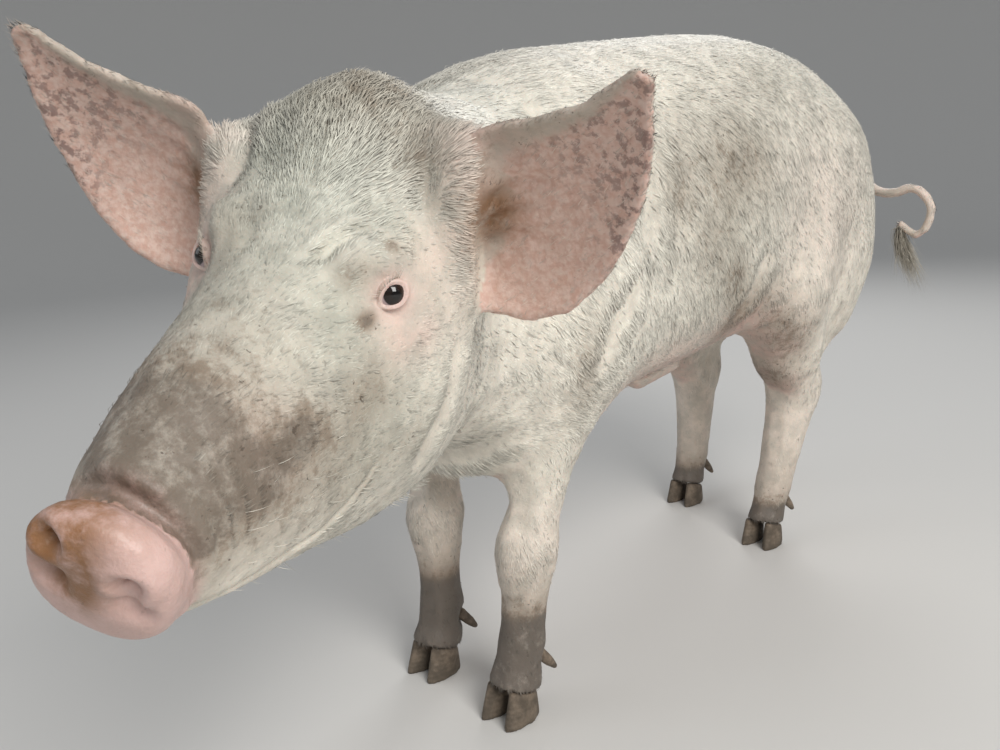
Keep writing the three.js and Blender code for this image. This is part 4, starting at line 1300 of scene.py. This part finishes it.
def spikes(name, lines, widths):
    """Joins one spike per line; lines is (hairs, points, 3), thickest at the second point."""
    hairs, count = lines.shape[:2]
    along = unit(np.gradient(lines, axis=1))
    side = unit(np.cross(along, np.array([0.31, 0.27, 0.91])))
    up = np.cross(side, along)
    taper = np.sin(np.linspace(0.25, 1, count - 1) ** 0.5 * math.pi)[None, :, None] * 0.5 + 0.06
    corners = []
    for angle in SPIKE_CORNERS:
        spoke = math.cos(angle) * side + math.sin(angle) * up
        corners.append(lines[:, :-1] + spoke[:, :-1] * widths[:, None, None] * taper)
    ring = np.stack(corners, 2).reshape(hairs, -1, 3)
    vertices = np.concatenate([ring, lines[:, -1:]], 1)
    per_hair = vertices.shape[1]
    faces = [[0, 2, 1]]
    for row in range(count - 2):
        a, b = 3 * row, 3 * row + 3
        for i in range(3):
            j = (i + 1) % 3
            faces += [[a + i, a + j, b + j], [a + i, b + j, b + i]]
    last = 3 * (count - 2)
    faces += [[last + i, last + (i + 1) % 3, per_hair - 1] for i in range(3)]
    triangles = (np.array(faces)[None] + per_hair * np.arange(hairs)[:, None, None]).reshape(-1, 3)
    return add_object(name, triangle_mesh(name, vertices.reshape(-1, 3), triangles)), per_hair


def hair_piece(name, lines, widths, marks, material):
    """A piece of single hairs, with the same attributes as the coat's."""
    piece, per_hair = spikes(name, lines, widths)
    count = len(lines)
    add_colour(piece.data, "coat_marks", np.tile(marks, (count * per_hair, 1)))
    add_colour(piece.data, "bare_marks", np.zeros((count * per_hair, 3)))
    along = np.minimum(np.arange(per_hair) // 3 / (lines.shape[1] - 1), 1)
    tone = np.repeat(rng.random(count), per_hair)
    strand = np.column_stack([tone, np.tile(along, count), np.zeros(count * per_hair)])
    add_colour(piece.data, "strand", strand)
    piece.data.materials.append(material)
    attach(piece, "root")
    return piece


# %% The tail's tuft
TUFT_PATH = mm([166, 571, 456], [148, 574, 462], [153, 573.5, 435], [166, 573, 400], [184, 572, 353])
TAIL_HAIRS = 420


def tail_lines():
    start, reach = rng.uniform(0, 0.5, TAIL_HAIRS), rng.uniform(0.72, 1.0, TAIL_HAIRS)
    spread = rng.normal(size=(TAIL_HAIRS, 3)) * (0.0075, 0.007, 0.004)
    fan = rng.normal(size=(TAIL_HAIRS, 3)) * (0.0115, 0.009, 0.006)
    lines = []
    for t in np.linspace(0, 1, 7):
        place = np.clip((start + (reach - start) * t) * (len(TUFT_PATH) - 1), 0, len(TUFT_PATH) - 1.001)
        i = place.astype(int)
        on_path = mix(TUFT_PATH[i], TUFT_PATH[i + 1], (place - i)[:, None])
        bulge = math.sin(math.pi * min(t * 1.2, 1)) * 0.6 + 0.4
        lines.append(on_path + spread * bulge * (0.3 + 0.7 * t) + fan * t ** 1.6)
    return np.stack(lines, 1) + trunk_at


tail_paths = tail_lines()
tail_widths = rng.uniform(0.0007, 0.0012, TAIL_HAIRS)
tail_hair = hair_piece("tail_hair", tail_paths, tail_widths, (0.0, 0.5, 0.1), bristles)
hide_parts("tail_tuft")
print("tail hair has", len(tail_hair.data.polygons), "triangles")


# %% Lashes and whiskers
LASHES, LASH_WIDTH = 26, 0.00045
WHISKER_SHARE = 0.02
HAIR_STEPS = np.linspace(0, 1, 5)


def lash_lines(side):
    gaze, along, up = eye_axes(side)
    lines = []
    for a in np.linspace(-0.75, 0.7, LASHES):
        a += rng.normal() * 0.02
        b = 0.62 * math.sqrt(max(1 - (a / 1.05) ** 2, 0.05))
        out = unit(gaze * math.cos(a) * math.cos(b) + along * math.sin(a) + up * math.sin(b))
        root = EYE * (side, 1, 1) + out * (EYE_RADIUS + 0.001)
        long = rng.uniform(0.006, 0.0105)
        bend = unit(out + 0.55 * up - 0.25 * along + 0.12 * rng.normal(size=3))
        lines.append([root + out * long * t * 0.9 + bend * long * t * t * 0.6 for t in HAIR_STEPS])
    return from_head(lines)


def whisker_lines():
    here = parts_named(roots["part"], "lower_jaw", "head")
    q = in_head(roots["at"])
    near = steps(-0.02, -0.16, q[:, 1]) * steps(-0.03, -0.09, q[:, 2]) * here
    chosen = np.nonzero(rng.random(len(near)) < near * WHISKER_SHARE)[0]
    long = rng.uniform(0.010, 0.022, len(chosen))
    root, out, lie = (roots[key][chosen] for key in ("at", "out", "lie"))
    lie = unit(lie + 0.25 * rng.normal(size=lie.shape))
    lines = []
    for t in HAIR_STEPS:
        rise, run = 0.62 * t - 0.25 * t * t, 0.55 * t + 0.3 * t * t
        lines.append(root - out * ROOT_DEPTH + (out * rise + lie * run) * long[:, None])
    return np.stack(lines, 1)


lash_widths = np.full(LASHES, LASH_WIDTH)
for name, side in (("left_lashes", 1), ("right_lashes", -1)):
    hair_piece(name, lash_lines(side), lash_widths, (0.1, 0.05, 0.0), bristles)
whisker_paths = whisker_lines()
whisker_widths = rng.uniform(0.0003, 0.0005, len(whisker_paths))
hair_piece("whiskers", whisker_paths, whisker_widths, (0.0, 0.1, 0.0), bristles)
print(LASHES, "lashes to an eye,", len(whisker_paths), "whiskers")

# %% [markdown]
# ## A plain studio
# The pig stands on a pale floor that curves up far behind it, turned on a lathe like a bowl. One
# large soft light hangs high on the pig's left. A weak one in front and one behind soften the
# shadows and draw the back's edge, and a dim sky fills the rest.

# %% Floor
FLOOR_REACH, FLOOR_BEND, FLOOR_GAP = 5.0, 3.0, 0.0005


def studio_floor():
    profile = [(0.0, 0.0), (FLOOR_REACH, 0.0)]
    for a in np.linspace(0.15, 1.5, 12):
        profile.append((FLOOR_REACH + FLOOR_BEND * math.sin(a), FLOOR_BEND - FLOOR_BEND * math.cos(a)))
    bm = bmesh.new()
    line = [bm.verts.new((r, 0, z - FLOOR_GAP)) for r, z in profile]
    edges = [bm.edges.new(pair) for pair in zip(line[:-1], line[1:])]
    bmesh.ops.spin(bm, geom=line + edges, cent=(0, 0, 0), axis=(0, 0, 1), angle=2 * math.pi, steps=96)
    bmesh.ops.remove_doubles(bm, verts=bm.verts, dist=1e-4)
    bmesh.ops.recalc_face_normals(bm, faces=bm.faces)
    bmesh.ops.reverse_faces(bm, faces=bm.faces)
    mesh = mesh_from(bm, "studio_floor")
    shade_smooth(mesh)
    floor = add_object("studio_floor", mesh)
    material, _, shader = new_material("studio_floor")
    shader.inputs["Base Color"].default_value = (0.62, 0.61, 0.59, 1)
    shader.inputs["Roughness"].default_value = 0.85
    mesh.materials.append(material)
    floor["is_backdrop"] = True
    return floor


floor = studio_floor()
print("floor is", round(2 * max(v.co.x for v in floor.data.vertices), 1), "m across")


# %% Lights
LIT_PLACE = Vector((0, -0.1, 0.4))
SKY_COLOUR, SKY_STRENGTH = (0.86, 0.9, 0.95, 1), 0.37


def area_light(name, place, size, watts, tint=(1, 1, 1)):
    lamp = bpy.data.lights.new(name, "AREA")
    lamp.energy, lamp.size, lamp.color = watts, size, tint
    stand = bpy.data.objects.new(name, lamp)
    stand.location = place
    stand.rotation_mode = "QUATERNION"
    stand.rotation_quaternion = (LIT_PLACE - Vector(place)).to_track_quat("-Z", "Y")
    bpy.context.scene.collection.objects.link(stand)


area_light("key", (2.3, -0.8, 2.1), 1.5, 84, (1.0, 0.98, 0.95))
area_light("fill", (-1.9, -2.4, 1.7), 1.8, 12, (0.95, 0.97, 1.0))
area_light("rim", (-1.2, 2.6, 2.4), 1.4, 30)
sky = bpy.data.worlds.new("sky")
sky.use_nodes = True
sky.node_tree.nodes["Background"].inputs["Color"].default_value = SKY_COLOUR
sky.node_tree.nodes["Background"].inputs["Strength"].default_value = SKY_STRENGTH
bpy.context.scene.world = sky
bpy.context.scene.view_settings.view_transform = "Standard"
print("three lights and a sky")

# %% [markdown]
# ## The camera
# It stands low and close, in front of the pig's left shoulder, and looks down a little at the face.

# %% Camera
CAMERA_AT = mm(655, -911, 578)
CAMERA_TURN, CAMERA_DOWN, CAMERA_ROLL = 43.7, 12.9, -3.2
LENS, SENSOR = 31.42, 36
camera = bpy.data.objects.new("camera", bpy.data.cameras.new("camera"))
camera.data.lens, camera.data.sensor_width = LENS, SENSOR
camera.data.clip_start = 0.02
turned = Matrix.Rotation(math.radians(CAMERA_TURN), 4, "Z")
tilted = Matrix.Rotation(math.radians(90 - CAMERA_DOWN), 4, "X")
rolled = Matrix.Rotation(math.radians(CAMERA_ROLL), 4, "Z")
camera.matrix_world = Matrix.Translation(CAMERA_AT + trunk_at) @ turned @ tilted @ rolled
bpy.context.scene.collection.objects.link(camera)
bpy.context.scene.camera = camera
print("camera at", [round(v, 3) for v in camera.matrix_world.translation])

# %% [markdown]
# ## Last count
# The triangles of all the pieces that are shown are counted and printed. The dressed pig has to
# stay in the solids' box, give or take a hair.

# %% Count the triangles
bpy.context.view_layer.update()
total = sum(triangles_in(piece.data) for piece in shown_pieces() if piece.type == "MESH")
print("the pig has", total, "triangles")
